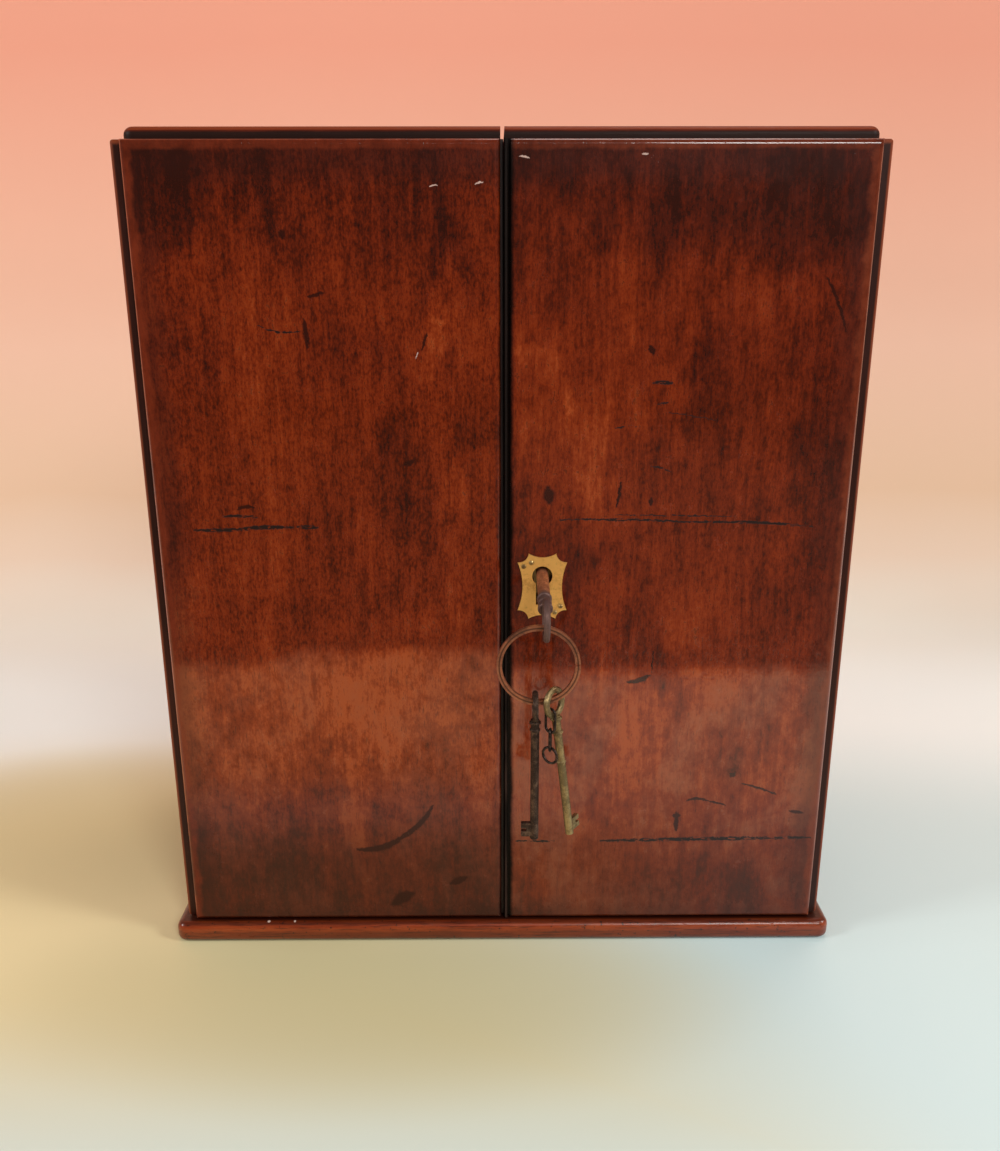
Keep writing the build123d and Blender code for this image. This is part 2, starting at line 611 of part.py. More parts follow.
def escutcheon():
    """Brass plate shaped like a stretched hide: eight points joined by hollow curves."""
    upper_x, upper_z, side_x, side_z = ESCUTCHEON_TIPS
    top, (corner_x, corner_z), side = ESCUTCHEON_HOLLOWS
    upper, flank = (upper_x, upper_z), (side_x, side_z)
    curves = [ThreePointArc((-upper_x, upper_z), (0, top), upper),
              ThreePointArc(upper, (corner_x, corner_z), flank),
              ThreePointArc(flank, (side, 0), (side_x, -side_z)),
              ThreePointArc((side_x, -side_z), (corner_x, -corner_z), (upper_x, -upper_z)),
              ThreePointArc((upper_x, -upper_z), (0, -top), (-upper_x, -upper_z)),
              ThreePointArc((-upper_x, -upper_z), (-corner_x, -corner_z), (-side_x, -side_z)),
              ThreePointArc((-side_x, -side_z), (-side, 0), (-side_x, side_z)),
              ThreePointArc((-side_x, side_z), (-corner_x, corner_z), (-upper_x, upper_z))]
    outline = Curve() + curves
    plate = Pos(0, -ESCUTCHEON_RISE) * make_face(outline) - keyhole(KEYHOLE_R, KEYHOLE_SLOT, KEYHOLE_DROP)
    plate = Pos(KEYHOLE_X, FACE_Y, KEY_Z) * extrude(Plane.XZ * plate, ESCUTCHEON)
    for place in escutcheon_pin_places():
        plate -= Pos(*place) * Rot(*TOWARDS["-Y"]) * pin_shank(SCREW_PLAY)
    return plate


def escutcheon_pin_places():
    middle = KEY_Z - ESCUTCHEON_RISE
    return [(KEYHOLE_X + x, FACE_Y, middle + z) for x, z in ESCUTCHEON_PIN_SPOTS]


def pin_shank(play=0.0):
    return extrude(RegularPolygon(ESCUTCHEON_PIN[0] + play, SCREW_SIDES), ESCUTCHEON)


def escutcheon_pins():
    shank, foot, crown, height = ESCUTCHEON_PIN
    pin = pin_shank() + Pos(0, 0, ESCUTCHEON) * turned([(foot, 0), (crown, height)], SCREW_SIDES)
    return [Pos(*place) * Rot(*TOWARDS["-Y"]) * pin for place in escutcheon_pin_places()]


# ---------------------------------------------------------------- what differs on the left door
def strike_span():
    y = (BOARD_Y, BOLT_Y + BOLT_DEPTH + STRIKE_BEHIND)
    z = (BOLT_Z - STRIKE_MARGIN, BOLT_Z + BOLT_HEIGHT + STRIKE_MARGIN)
    return y, z


def strike_screw_places():
    y, z = strike_span()
    middle = (y[0] + y[1]) / 2
    return [(-DOOR_EDGE, middle, z[0] + STRIKE_SCREW_EDGE), (-DOOR_EDGE, middle, z[1] - STRIKE_SCREW_EDGE)]


def strike_plate():
    y, z = strike_span()
    plate = block((-DOOR_EDGE - STRIKE_PLATE, -DOOR_EDGE), y, z)
    plate -= bolt_space((-DOOR_EDGE - STRIKE_PLATE - PAST, 0))
    for place in strike_screw_places():
        plate -= screw(FITTING_SCREW, place, "-X", SCREW_PLAY)
    return plate


def left_meeting_stile():
    stile = to_left(meeting_stile())
    y, z = strike_span()
    stile -= block((-DOOR_EDGE - STRIKE_PLATE, 0), y, z)
    stile -= bolt_space((DOOR_EDGE - BOLT_THROW - 2 * BOLT_PLAY, 0))
    for place in strike_screw_places():
        stile -= screw(FITTING_SCREW, place, "-X", SCREW_PLAY)
    for place in slide_screw_places():
        stile -= screw(FITTING_SCREW, place, "+X", SCREW_PLAY)
    return stile


def closing_strip():
    """Thin strip on the left door that closes the gap against dust."""
    x = (-DOOR_EDGE, STRIP_THICKNESS - DOOR_EDGE)
    return block(x, (CORE_Y, CORE_Y + STRIP_DEPTH), (DOOR_Z, CORE_TOP))


def slide_bar(z, play=0.0):
    """The flat bar, or with play the mortise that it slides in."""
    thickness, width, length = SLIDE_BOLT
    half = width / 2 + play
    return block((SLIDE_X - play, SLIDE_X + thickness + play), (SLIDE_Y - half, SLIDE_Y + half), z)


def slide_bolt_hole(low, high):
    return slide_bar((low, high), SLIDE_BOLT_PLAY)


def slide_screw_places():
    width, height = SLIDE_PLATE_SIZE
    x = -MEETING_INSIDE - SLIDE_PLATE
    return [(x, SLIDE_Y + width * across, SLIDE_PLATE_Z + height * up) for across, up in SLIDE_SCREWS]


def slide_bolt_plate():
    """Plate on the meeting stile with two staples that guide the bar."""
    width, height = SLIDE_PLATE_SIZE
    face = -MEETING_INSIDE - SLIDE_PLATE
    plate = block((face, -MEETING_INSIDE), (SLIDE_Y - width / 2, SLIDE_Y + width / 2),
                  (SLIDE_PLATE_Z, SLIDE_PLATE_Z + height))
    wall = SLIDE_BOLT_PLAY + SLIDE_STAPLE[0]
    half = SLIDE_BOLT[1] / 2 + wall
    for low in (SLIDE_PLATE_Z, SLIDE_PLATE_Z + height - SLIDE_STAPLE[1]):
        staple = block((SLIDE_X - wall, face), (SLIDE_Y - half, SLIDE_Y + half), (low, low + SLIDE_STAPLE[1]))
        plate += chamfer(staple.faces().sort_by(Axis.X)[0].edges().filter_by(Axis.Z), SLIDE_BEVEL)
    plate -= slide_bolt_hole(SLIDE_PLATE_Z - PAST, SLIDE_PLATE_Z + height + PAST)
    for place in slide_screw_places():
        plate -= screw(FITTING_SCREW, place, "+X", SCREW_PLAY)
    return plate


def slide_bolt():
    """Flat bolt with a turned knob, drawn up clear of the base."""
    foot = DOOR_Z + SLIDE_REST
    bolt = slide_bar((foot, foot + SLIDE_BOLT[2]))
    bolt = chamfer(bolt.faces().sort_by(Axis.Z)[0].edges(), SLIDE_BEVEL)
    profile = Plane.XZ * make_face(Polyline(*SLIDE_KNOB, close=True))
    knob = Rot(*TOWARDS["-X"]) * revolve(profile, Axis.Z)
    return bolt + Pos(SLIDE_X, SLIDE_Y, SLIDE_PLATE_Z + SLIDE_PLATE_SIZE[1] / 2 + SLIDE_KNOB_HEIGHT) * knob


# ---------------------------------------------------------------- keys, drawn upright and then placed
def bow(radius, hole, thickness):
    """Flat ring head of a key in the YZ plane, with softened edges."""
    ring = extrude(Plane.YZ * (Circle(radius) - Circle(hole)), thickness / 2, both=True)
    return chamfer(ring.edges(), thickness * BOW_BEVEL)


def collar(radius, z, height):
    """Turned ring round a key's shank."""
    return chamfer(rod(radius, (0, 0, z), height).edges().filter_by(GeomType.CIRCLE), height * COLLAR_BEVEL)


def in_lock(shape):
    """Turn a key drawn with +Z outwards and -Y down into the keyhole, drooping."""
    return Pos(KEYHOLE_X, ESCUTCHEON_Y, KEY_Z) * Rot(90 + KEY_DROOP, 0, 0) * shape


def lock_key():
    bow_foot = KEY_BOW_PLACE - KEY_BOW_R
    key = rod(KEY_SHANK_R, (0, 0, -KEY_NOSE), KEY_NOSE + bow_foot + BOW_OVERLAP)
    for share, radius in KEY_COLLARS:
        key += collar(radius, KEY_NECK + share * (bow_foot - KEY_NECK), KEY_COLLAR)
    key += Pos(0, 0, KEY_BOW_PLACE) * bow(KEY_BOW_R, KEY_BOW_HOLE, KEY_BOW_THICKNESS)
    half = KEY_BIT_THICKNESS / 2
    bit = block((-half, half), (-KEY_BIT_REACH, 0), (-KEY_BIT_END, KEY_BIT_WIDTH - KEY_BIT_END))
    place, width, depth = KEY_WARD
    slit = (-KEY_BIT_REACH - PAST, depth - KEY_BIT_REACH)
    bit -= block((-half - PAST, half + PAST), slit, (place, place + width))
    return in_lock(key + bit)

BOW_Y = ESCUTCHEON_Y - KEY_BOW_PLACE * cos(radians(KEY_DROOP))
BOW_Z = KEY_Z - KEY_BOW_PLACE * sin(radians(KEY_DROOP))


def chord_rise(radius, half_width):
    """How much a circle rises over half of a chord."""
    return radius - sqrt(radius * radius - half_width * half_width)


RING_PITCH = RING_TURN + RING_TURN_PLAY
RING_WIDTH = 2 * RING_PITCH + RING_TURN
RING_X = KEYHOLE_X - RING_SHIFT
RING_INNER = RING_R - RING_BAND
SEAT_Z = BOW_Z - KEY_BOW_HOLE + chord_rise(KEY_BOW_HOLE, RING_WIDTH / 2) + HANG_PLAY
RING_Z = SEAT_Z - sqrt(RING_INNER ** 2 - (RING_SHIFT + KEY_BOW_THICKNESS / 2) ** 2)


def split_ring():
    """Flat wire wound round twice, the two turns lying side by side."""
    path = Helix(RING_PITCH, 2 * RING_PITCH, RING_R - RING_BAND / 2)
    start = Plane(path @ 0, z_dir=path % 0, x_dir=(1, 0, 0))
    section = start * Rectangle(RING_BAND, RING_TURN)
    ring = sweep(section, path, is_frenet=True)
    return Pos(RING_X, BOW_Y + RING_PITCH, RING_Z) * Rot(90, 0, 0) * ring


def hanging_place(x, twist=0.0):
    """Top of a hanging key's bow hole where it rides on the ring's lowest stretch."""
    wire = RING_Z - sqrt(RING_INNER ** 2 - (abs(x - RING_X) + SMALL_BOW_THICKNESS / 2) ** 2)
    half = RING_WIDTH / 2 / cos(radians(twist))
    return wire + chord_rise(SMALL_BOW_HOLE, half) + HANG_PLAY


SMALL_FOOT = SMALL_BOW_R - SMALL_BOW_HOLE - SMALL_KEY_LENGTH


def hanging_key(collars):
    """Bow, shank and collars of a small key, hung from the top of its bow's hole."""
    top = SMALL_OVERLAP - SMALL_BOW_HOLE - SMALL_BOW_R
    key = Pos(0, 0, -SMALL_BOW_HOLE) * bow(SMALL_BOW_R, SMALL_BOW_HOLE, SMALL_BOW_THICKNESS)
    key += rod(SMALL_SHANK_R, (0, 0, SMALL_FOOT), top - SMALL_FOOT)
    for drop, radius in collars:
        key += collar(radius, top - SMALL_OVERLAP - SMALL_COLLAR / 2 - drop, SMALL_COLLAR)
    return key


def small_bit(size, ward):
    """Bit that reaches towards +X, with one slit for a ward."""
    reach, thickness, lift, height = size
    bit = block((0, reach), (-thickness / 2, thickness / 2), (SMALL_FOOT + lift, SMALL_FOOT + lift + height))
    start, slit, width = ward
    low = SMALL_FOOT + slit
    return bit - block((start, reach + PAST), (-thickness, thickness), (low, low + width))


def iron_key():
    """Solid key with a stepped bit."""
    key = hanging_key(IRON_COLLARS) + to_left(small_bit(IRON_BIT, IRON_WARD))
    return Pos(IRON_KEY_X, BOW_Y, hanging_place(IRON_KEY_X)) * key


def brass_key():
    """Barrel key: its shank is bored from the foot to go over a lock's pin."""
    radius, depth = BRASS_BARREL
    key = hanging_key(BRASS_COLLARS) + Rot(0, 0, 90) * small_bit(BRASS_BIT, BRASS_WARD)
    key -= rod(radius, (0, 0, SMALL_FOOT - PAST), PAST + depth)
    return brass_key_place() * key


BRASS_TURN = Rot(0, -BRASS_KEY_LEAN, 0) * Rot(0, 0, -BRASS_KEY_TWIST)


def brass_key_place():
    return Pos(BRASS_KEY_X, BOW_Y, hanging_place(BRASS_KEY_X, BRASS_KEY_TWIST)) * BRASS_TURN


def wire_loop(size):
    """Oval loop of wire in the XZ plane, the middle of its top wire at the origin."""
    width, height = size
    bend = width / 2 - LINK_WIRE_R
    straight = height - 2 * LINK_WIRE_R - 2 * bend
    loop = Polyline((-bend, -bend - straight), (-bend, -bend))
    loop += ThreePointArc((-bend, -bend), (0, 0), (bend, -bend))
    loop += Line((bend, -bend), (bend, -bend - straight))
    loop += ThreePointArc((bend, -bend - straight), (0, -2 * bend - straight), (-bend, -bend - straight))
    path = Plane.XZ * loop
    section = Plane((-bend, 0, -bend - straight), z_dir=(0, 0, 1)) * RegularPolygon(LINK_WIRE_R, WIRE_SIDES)
    return sweep(section, path)


def wire_ring():
    """Ring of wire in the XZ plane about the origin."""
    section = Pos(SMALL_RING_R - LINK_WIRE_R, 0) * RegularPolygon(LINK_WIRE_R, WIRE_SIDES)
    return revolve(section, Axis.Y)


def link_places():
    """Middle of the top wire of both chain links and of the small ring below them."""
    reach = SMALL_BOW_HOLE - LINK_WIRE_R - LINK_PLAY
    angle = radians(LINK_SEAT)
    first = brass_key_place() * Pos(0, -reach * sin(angle), -SMALL_BOW_HOLE - reach * cos(angle))
    top = first.position
    hooked = 4 * LINK_WIRE_R + LINK_PLAY
    middle = top - Vector(0, 0, UPPER_LINK[1] - hooked)
    return [top, middle, middle - Vector(0, 0, LOWER_LINK[1] - hooked)]


def chain():
    upper, lower, ring = link_places()
    across = Rot(0, 0, -BRASS_KEY_TWIST)
    return {"chain_upper_link": Pos(*upper) * across * wire_loop(UPPER_LINK),
            "chain_lower_link": Pos(*lower) * Rot(0, 0, LOWER_LINK_TURN) * wire_loop(LOWER_LINK),
            "small_ring": Pos(*ring) * across * Pos(0, 0, LINK_WIRE_R - SMALL_RING_R) * wire_ring()}


# ---------------------------------------------------------------- writing the nodes
def save_case():
    save("base_board", base_board())
    save("base_screws", *[screw(BASE_SCREW, place, "+Z") for place in base_screw_places()])
    for name, shape in (("side", case_side()), ("side_facing", case_side_facing())):
        save(f"case_right_{name}", shape)
        save(f"case_left_{name}", to_left(shape))
    save("case_top", case_top())
    save("case_top_facing", case_top_facing())
    save("case_bottom", case_bottom())
    save("case_back", case_back())
    save("shelf", shelf())
    save("shelf_partition", shelf_partition())
    for name, y in rack_places().items():
        save(f"letter_divider_{name}", letter_divider(y, RACK_HEIGHTS[name]))
    save("pen_tray", pen_tray())


def save_hinges():
    fixed = [hinge_half(foot, True) for foot in HINGE_FEET]
    moving = [hinge_half(foot, False) for foot in HINGE_FEET]
    pins = [hinge_pin(foot) for foot in HINGE_FEET]
    save("hinge_case_plates", *fixed, *map(to_left, fixed))
    save("hinge_pins", *pins, *map(to_left, pins))
    save("right_hinge_door_plates", *moving)
    save("left_hinge_door_plates", *map(to_left, moving))
    save("case_hinge_screws", *hinge_screws(True), *map(to_left, hinge_screws(True)))
    save("right_hinge_door_screws", *hinge_screws(False))
    save("left_hinge_door_screws", *map(to_left, hinge_screws(False)))


def save_right_door():
    save("right_door_board", door_board() - wood_keyhole())
    save("right_door_hinge_stile", hinge_stile())
    save("right_door_meeting_stile", right_meeting_stile())
    save("right_door_top_rail", door_rail(CORE_TOP - DOOR_RAIL))
    save("right_door_bottom_rail", door_rail(DOOR_Z))
    save("right_door_front_facing", right_front_facing())
    save("right_door_side_facing", door_side_facing())
    save("right_door_top_facing", door_top_facing())
    save("right_door_paper_rail", paper_rail())
    save("meeting_bead", meeting_bead())


def save_left_door():
    save("left_door_board", to_left(door_board()))
    save("left_door_hinge_stile", to_left(hinge_stile()))
    save("left_door_meeting_stile", left_meeting_stile())
    save("left_door_top_rail", to_left(door_rail(CORE_TOP - DOOR_RAIL)))
    slot = slide_bolt_hole(DOOR_Z - PAST, DOOR_Z + DOOR_RAIL + PAST)
    save("left_door_bottom_rail", to_left(door_rail(DOOR_Z)) - slot)
    save("left_door_front_facing", to_left(front_facing()))
    save("left_door_side_facing", to_left(door_side_facing()))
    save("left_door_top_facing", to_left(door_top_facing()))
    save("left_door_paper_rail", to_left(paper_rail()))
    save("closing_strip", closing_strip())
    save("strike_plate", strike_plate())
    save("slide_bolt_plate", slide_bolt_plate())
    save("slide_bolt", slide_bolt())
    save("left_door_fitting_screws",
         *[screw(FITTING_SCREW, place, "-X") for place in strike_screw_places()],
         *[screw(FITTING_SCREW, place, "+X") for place in slide_screw_places()])


def save_lock():
    save("escutcheon", escutcheon())
    save("escutcheon_pins", *escutcheon_pins())
    save("lock_case", lock_case())
    save("lock_cap", lock_cap())
    save("lock_screws", *[screw(FITTING_SCREW, place, "+X") for place in selvedge_screw_places()])
    save("lock_bolt", lock_bolt())
    save("lock_key", lock_key())


def save_bunch():
    save("split_ring", split_ring())
    save("iron_key", iron_key())
    save("brass_key", brass_key())
    for name, shape in chain().items():
        save(name, shape)


if __name__ == "__main__":
    save_case()
    save_hinges()
    save_right_door()
    save_left_door()
    save_lock()
    save_bunch()
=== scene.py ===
"""Looks of an upright mahogany stationery box: old varnish, worn brass, a bunch of keys and the light.
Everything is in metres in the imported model's frame; the material formulas work in millimetres."""
from math import cos, radians, sin

import bmesh
import bpy
from mathutils import Matrix, Vector


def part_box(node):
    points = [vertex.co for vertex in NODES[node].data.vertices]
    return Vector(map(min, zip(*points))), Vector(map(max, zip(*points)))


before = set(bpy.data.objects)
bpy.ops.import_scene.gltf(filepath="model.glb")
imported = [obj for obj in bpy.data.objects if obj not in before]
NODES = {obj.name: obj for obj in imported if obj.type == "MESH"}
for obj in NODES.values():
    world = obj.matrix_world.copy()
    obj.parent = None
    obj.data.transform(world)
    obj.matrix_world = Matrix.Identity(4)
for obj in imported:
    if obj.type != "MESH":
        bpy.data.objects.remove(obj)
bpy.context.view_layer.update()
MM = 0.001

# ---------------------------------------------------------------- sizes read from the model, in mm
FACE_LOW, FACE_HIGH = (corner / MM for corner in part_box("left_door_front_facing"))
HALF_FACE = -FACE_LOW.x
FACE_Y = FACE_LOW.y
FACE_FOOT, FACE_TOP = FACE_LOW.z, FACE_HIGH.z
HALF_BODY = -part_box("left_door_side_facing")[0].x / MM
BASE_LOW, BASE_HIGH = (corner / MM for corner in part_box("base_board"))
BOX_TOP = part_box("left_door_top_facing")[1].z / MM
DOOR_BACK_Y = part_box("left_door_board")[1].y / MM
ESCUTCHEON_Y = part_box("escutcheon")[0].y / MM
RING_LOW, RING_HIGH = (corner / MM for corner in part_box("split_ring"))

# ---------------------------------------------------------------- camera
IMAGE = (1000, 1151)
FOCAL_PIXELS = 1000.0
SENSOR = 36.0
CAMERA_PLACE = (-0.0036, -0.4958, 0.3034)
CAMERA_TURN = (-16.397, 0.091, -0.330)      # pitch, roll and yaw in degrees, from looking along +Y


def make_camera():
    data = bpy.data.cameras.new("camera")
    data.sensor_fit = "AUTO"
    data.sensor_width = SENSOR
    data.lens = FOCAL_PIXELS / max(IMAGE) * SENSOR
    data.clip_start, data.clip_end = 0.01, 20.0
    camera = bpy.data.objects.new("camera", data)
    pitch, roll, yaw = (radians(angle) for angle in CAMERA_TURN)
    turn = Matrix.Rotation(yaw, 4, "Z") @ Matrix.Rotation(pitch, 4, "X") @ Matrix.Rotation(roll, 4, "Y")
    camera.matrix_world = Matrix.Translation(CAMERA_PLACE) @ turn @ Matrix.Rotation(radians(90), 4, "X")
    bpy.context.scene.collection.objects.link(camera)
    bpy.context.scene.camera = camera


# ---------------------------------------------------------------- a small language for node formulas
class Value:
    """A number output of a node tree that takes part in sums like a plain number."""

    def __init__(self, paint, socket):
        self.paint, self.socket = paint, socket

    def __add__(self, other):
        return self.paint.math("ADD", self, other)

    def __radd__(self, other):
        return self.paint.math("ADD", other, self)

    def __sub__(self, other):
        return self.paint.math("SUBTRACT", self, other)

    def __rsub__(self, other):
        return self.paint.math("SUBTRACT", other, self)

    def __mul__(self, other):
        return self.paint.math("MULTIPLY", self, other)

    def __truediv__(self, other):
        return self.paint.math("DIVIDE", self, other)

    def __abs__(self):
        return self.paint.math("ABSOLUTE", self)


class Paint:
    """One material and the nodes that colour it."""

    def __init__(self, name):
        self.material = bpy.data.materials.new(name)
        self.material.use_nodes = True
        self.tree = self.material.node_tree
        self.tree.nodes.clear()
        output = self.tree.nodes.new("ShaderNodeOutputMaterial")
        self.shader = self.tree.nodes.new("ShaderNodeBsdfPrincipled")
        self.tree.links.new(self.shader.outputs[0], output.inputs["Surface"])
        place = self.tree.nodes.new("ShaderNodeTexCoord").outputs["Object"]
        scaled = self.vector_math("SCALE", place, scale=1 / MM)
        parts = self.tree.nodes.new("ShaderNodeSeparateXYZ")
        self.tree.links.new(scaled, parts.inputs[0])
        self.x, self.y, self.z = (Value(self, parts.outputs[i]) for i in range(3))
        self.warp_x, self.warp_z = self.x, self.z - FACE_FOOT

    def feed(self, socket, source):
        """Give a socket its source: another node's output, a colour or a number."""
        if isinstance(source, Value):
            source = source.socket
        if isinstance(source, bpy.types.NodeSocket):
            self.tree.links.new(source, socket)
        elif isinstance(source, tuple):
            socket.default_value = (*source, 1.0)
        else:
            socket.default_value = source

    def math(self, operation, a, b=None, clamp=False):
        node = self.tree.nodes.new("ShaderNodeMath")
        node.operation, node.use_clamp = operation, clamp
        self.feed(node.inputs[0], a)
        if b is not None:
            self.feed(node.inputs[1], b)
        return Value(self, node.outputs[0])

    def vector_math(self, operation, a, scale=1.0):
        node = self.tree.nodes.new("ShaderNodeVectorMath")
        node.operation = operation
        self.feed(node.inputs[0], a)
        self.feed(node.inputs["Scale"], scale)
        return node.outputs[0]

    def low(self, a, b):
        return self.math("MINIMUM", a, b)

    def high(self, a, b):
        return self.math("MAXIMUM", a, b)

    def point(self, x, y, z):
        node = self.tree.nodes.new("ShaderNodeCombineXYZ")
        for socket, part in zip(node.inputs, (x, y, z)):
            self.feed(socket, part)
        return node.outputs[0]

    def step(self, value, start, end):
        """0 at start, 1 at end, smooth between them."""
        node = self.tree.nodes.new("ShaderNodeMapRange")
        node.interpolation_type = "SMOOTHSTEP"
        flip = start > end
        low, high = (end, start) if flip else (start, end)
        self.feed(node.inputs["Value"], value)
        self.feed(node.inputs["From Min"], low)
        self.feed(node.inputs["From Max"], high)
        self.feed(node.inputs["To Min"], 1.0 if flip else 0.0)
        self.feed(node.inputs["To Max"], 0.0 if flip else 1.0)
        return Value(self, node.outputs["Result"])

    def noise(self, x, y, z, detail=3.0, roughness=0.55, distortion=0.0):
        """Cloud noise from 0 to 1, most of it between 0.3 and 0.7."""
        node = self.tree.nodes.new("ShaderNodeTexNoise")
        self.feed(node.inputs["Vector"], self.point(x, y, z))
        node.inputs["Scale"].default_value = 1.0
        node.inputs["Detail"].default_value = detail
        node.inputs["Roughness"].default_value = roughness
        node.inputs["Distortion"].default_value = distortion
        return Value(self, node.outputs[0])

    def mix(self, share, a, b):
        node = self.tree.nodes.new("ShaderNodeMix")
        node.data_type = "RGBA"
        self.feed(node.inputs[0], share)
        self.feed(node.inputs[6], a)
        self.feed(node.inputs[7], b)
        return node.outputs[2]

    def ramp(self, value, *stops):
        """Colours at places from 0 to 1."""
        node = self.tree.nodes.new("ShaderNodeValToRGB")
        elements = node.color_ramp.elements
        while len(elements) < len(stops):
            elements.new(0.5)
        for element, (place, colour) in zip(elements, stops):
            element.position, element.color = place, (*colour, 1.0)
        self.feed(node.inputs[0], value)
        return node.outputs[0]

    def union(self, *masks):
        whole = masks[0]
        for mask in masks[1:]:
            whole = self.high(whole, mask)
        return whole

    def warp(self, fineness, shift):
        """From here on, spots and strokes get an uneven outline, moved by up to about the shift."""
        x, z = self.x * fineness, self.z * fineness
        push = (self.noise(x, z, 3.0, detail=4.0, roughness=0.65) - 0.5) * shift
        lift = (self.noise(x, z, 8.0, detail=4.0, roughness=0.65) - 0.5) * shift
        self.warp_x, self.warp_z = self.x + push, self.z - FACE_FOOT + lift

    def spot(self, x, z, radii):
        """A soft oval on the front of the box."""
        dx, dz = (self.warp_x - x) / radii[0], (self.warp_z - z) / radii[1]
        return self.step(dx * dx + dz * dz, 1.0, 0.1)

    def stroke(self, start, end, width, bend=0.0):
        """A line from start to end on the front, thick in the middle, that bends to one side."""
        ax, az = start
        length = Vector((end[0] - ax, end[1] - az)).length
        ux, uz = (end[0] - ax) / length, (end[1] - az) / length
        dx, dz = self.warp_x - ax, self.warp_z - az
        along = (dx * ux + dz * uz) / length
        held = self.math("ADD", along, 0.0, clamp=True)
        arch = held * (1.0 - held) * 4.0
        across = dz * ux - dx * uz - arch * bend
        beyond = (along - held) * length
        gap = self.math("SQRT", across * across + beyond * beyond)
        return self.step(gap - arch * (width * 0.35), width * 0.45, width * 0.05)

    def bump(self, height, strength, distance, below=None):
        """Normal for a height; below is the normal of a coarser bump that this one lies on."""
        node = self.tree.nodes.new("ShaderNodeBump")
        node.inputs["Strength"].default_value = strength
        node.inputs["Distance"].default_value = distance
        self.feed(node.inputs["Height"], height)
        if below is not None:
            self.tree.links.new(below, node.inputs["Normal"])
        return node.outputs[0]

    def finish(self, colour, roughness, normal, metallic=0.0, coat=0.0, coat_roughness=0.1, specular=0.5):
        sockets = self.shader.inputs
        self.feed(sockets["Base Color"], colour)
        self.feed(sockets["Roughness"], roughness)
        self.feed(sockets["Normal"], normal)
        sockets["Metallic"].default_value = metallic
        sockets["Specular IOR Level"].default_value = specular
        self.feed(sockets["Coat Weight"], coat)
        sockets["Coat Roughness"].default_value = coat_roughness
        if coat:
            self.feed(sockets["Coat Normal"], normal)
        return self.material


# ---------------------------------------------------------------- mahogany
DEEP = (0.030, 0.0048, 0.0020)
DARK = (0.074, 0.0076, 0.0014)
BODY = (0.152, 0.0150, 0.0020)
WARM = (0.226, 0.0265, 0.0036)
LIGHT = (0.340, 0.0560, 0.0105)
FRONT_TONES = ((0.02, DEEP), (0.26, DARK), (0.50, BODY), (0.74, WARM), (1.0, LIGHT))
WORN_AND_HIGHLIGHT = (0.250, 0.0460, 0.0130)        # rubbed arris of the sides, with a painted highlight along it
# dark dirt in cracks and flecks, also the colour of painted shade in angles, by the doors and on the bead
GRIME_AND_SHADE = (0.016, 0.0060, 0.0040)
# black of the painted shade at the gap between the doors and on the bead
SHADE_BLACK = (0.0030, 0.0014, 0.0010)
GLOW_FILM = (0.190, 0.074, 0.043)          # greyish painted reflection of the floor where it is strongest
CHIP = (0.55, 0.36, 0.30)             # pale wood in the small chips of the fronts
BASE_CHIP = (0.62, 0.46, 0.38)
# rubbed wood and a painted highlight on the rounding of the top
TOP_RUB_AND_HIGHLIGHT = (0.240, 0.040, 0.010)
# lighter colour of the lower bead, a painted reflection of the floor
BEAD_REFLECTION = (0.055, 0.027, 0.020)
# Each timber has its dark, middle and light tone.
MAHOGANY_DARK = (DEEP, DARK, BODY)
MAHOGANY_PLAIN = ((0.090, 0.022, 0.009), (0.185, 0.052, 0.019), (0.300, 0.100, 0.040))
MAHOGANY_RACK = ((0.120, 0.032, 0.013), (0.230, 0.072, 0.027), (0.350, 0.130, 0.055))
MAHOGANY_BASE = ((0.090, 0.011, 0.0018), (0.255, 0.033, 0.0040), (0.380, 0.068, 0.0100))
# The bead's tones are near black: painted shade of the gap between the doors.
BEAD_TONES = (SHADE_BLACK, (0.008, 0.0035, 0.0024), GRIME_AND_SHADE)
STRIP_TONES = (GRIME_AND_SHADE, (0.03, 0.011, 0.007), (0.06, 0.022, 0.014))

# One value for each front: -1 is the left door, 1 the right one.  Heights are above the doors' foot.
BAND = {-1: (0.200, 0.0290, 0.0080), 1: (0.210, 0.0420, 0.0140)}      # rubbed wood by the outer arris
ARRIS_AND_HIGHLIGHT = {-1: (0.420, 0.0900, 0.0340), 1: (0.300, 0.1000, 0.0580)}     # bare wood on the arris itself, with a painted highlight along it
COAT = {-1: 0.72, 1: 0.95}            # how much varnish is left
SPECKLE = {-1: 1.15, 1: 0.85}         # strength of the specks of a millimetre
DEEPER = {-1: 0.0, 1: 0.035}          # how much darker the wood is above the part painted lighter
GLOW_TOP = {-1: 139.0, 1: 130.0}     # below this height the wood is painted lighter, a painted reflection of the bright floor
GLOW_FILM_SHARE = {-1: 0.22, 1: 0.40}      # strength of the greyish painted reflection there
FOOT_SHADE = {-1: 0.46, 1: 0.24}      # how much darker the wood gets towards the foot
FOOT_PURPLE = {-1: (0.058, 0.0160, 0.0080), 1: (0.090, 0.0240, 0.0105)}      # even purple-brown tone there
FOOT_SMOOTH = {-1: 0.60, 1: 0.46}     # share of that tone
GAP_SHADE_WIDTH = {-1: 2.6, 1: 5.4}          # width of the black painted shade at the gap between the doors

# The same for both fronts, in mm where it is a place.
GLOW_GAIN = 0.31                     # how much lighter the painted reflection makes the wood
GLOW_DIP = 7.0                       # its upper edge lies this much lower near the left side
GLOW_DIP_SPAN = (-84.0, -106.0)      # x where it starts to dip and where it is down
FOOT_SPAN = (92.0, 18.0)              # heights where the shade at the foot starts and where it is full
TOP_SPAN = (282.0, 343.0)             # and those of the shade towards the top
TOP_SHADE = 0.21                      # how much darker the wood gets there


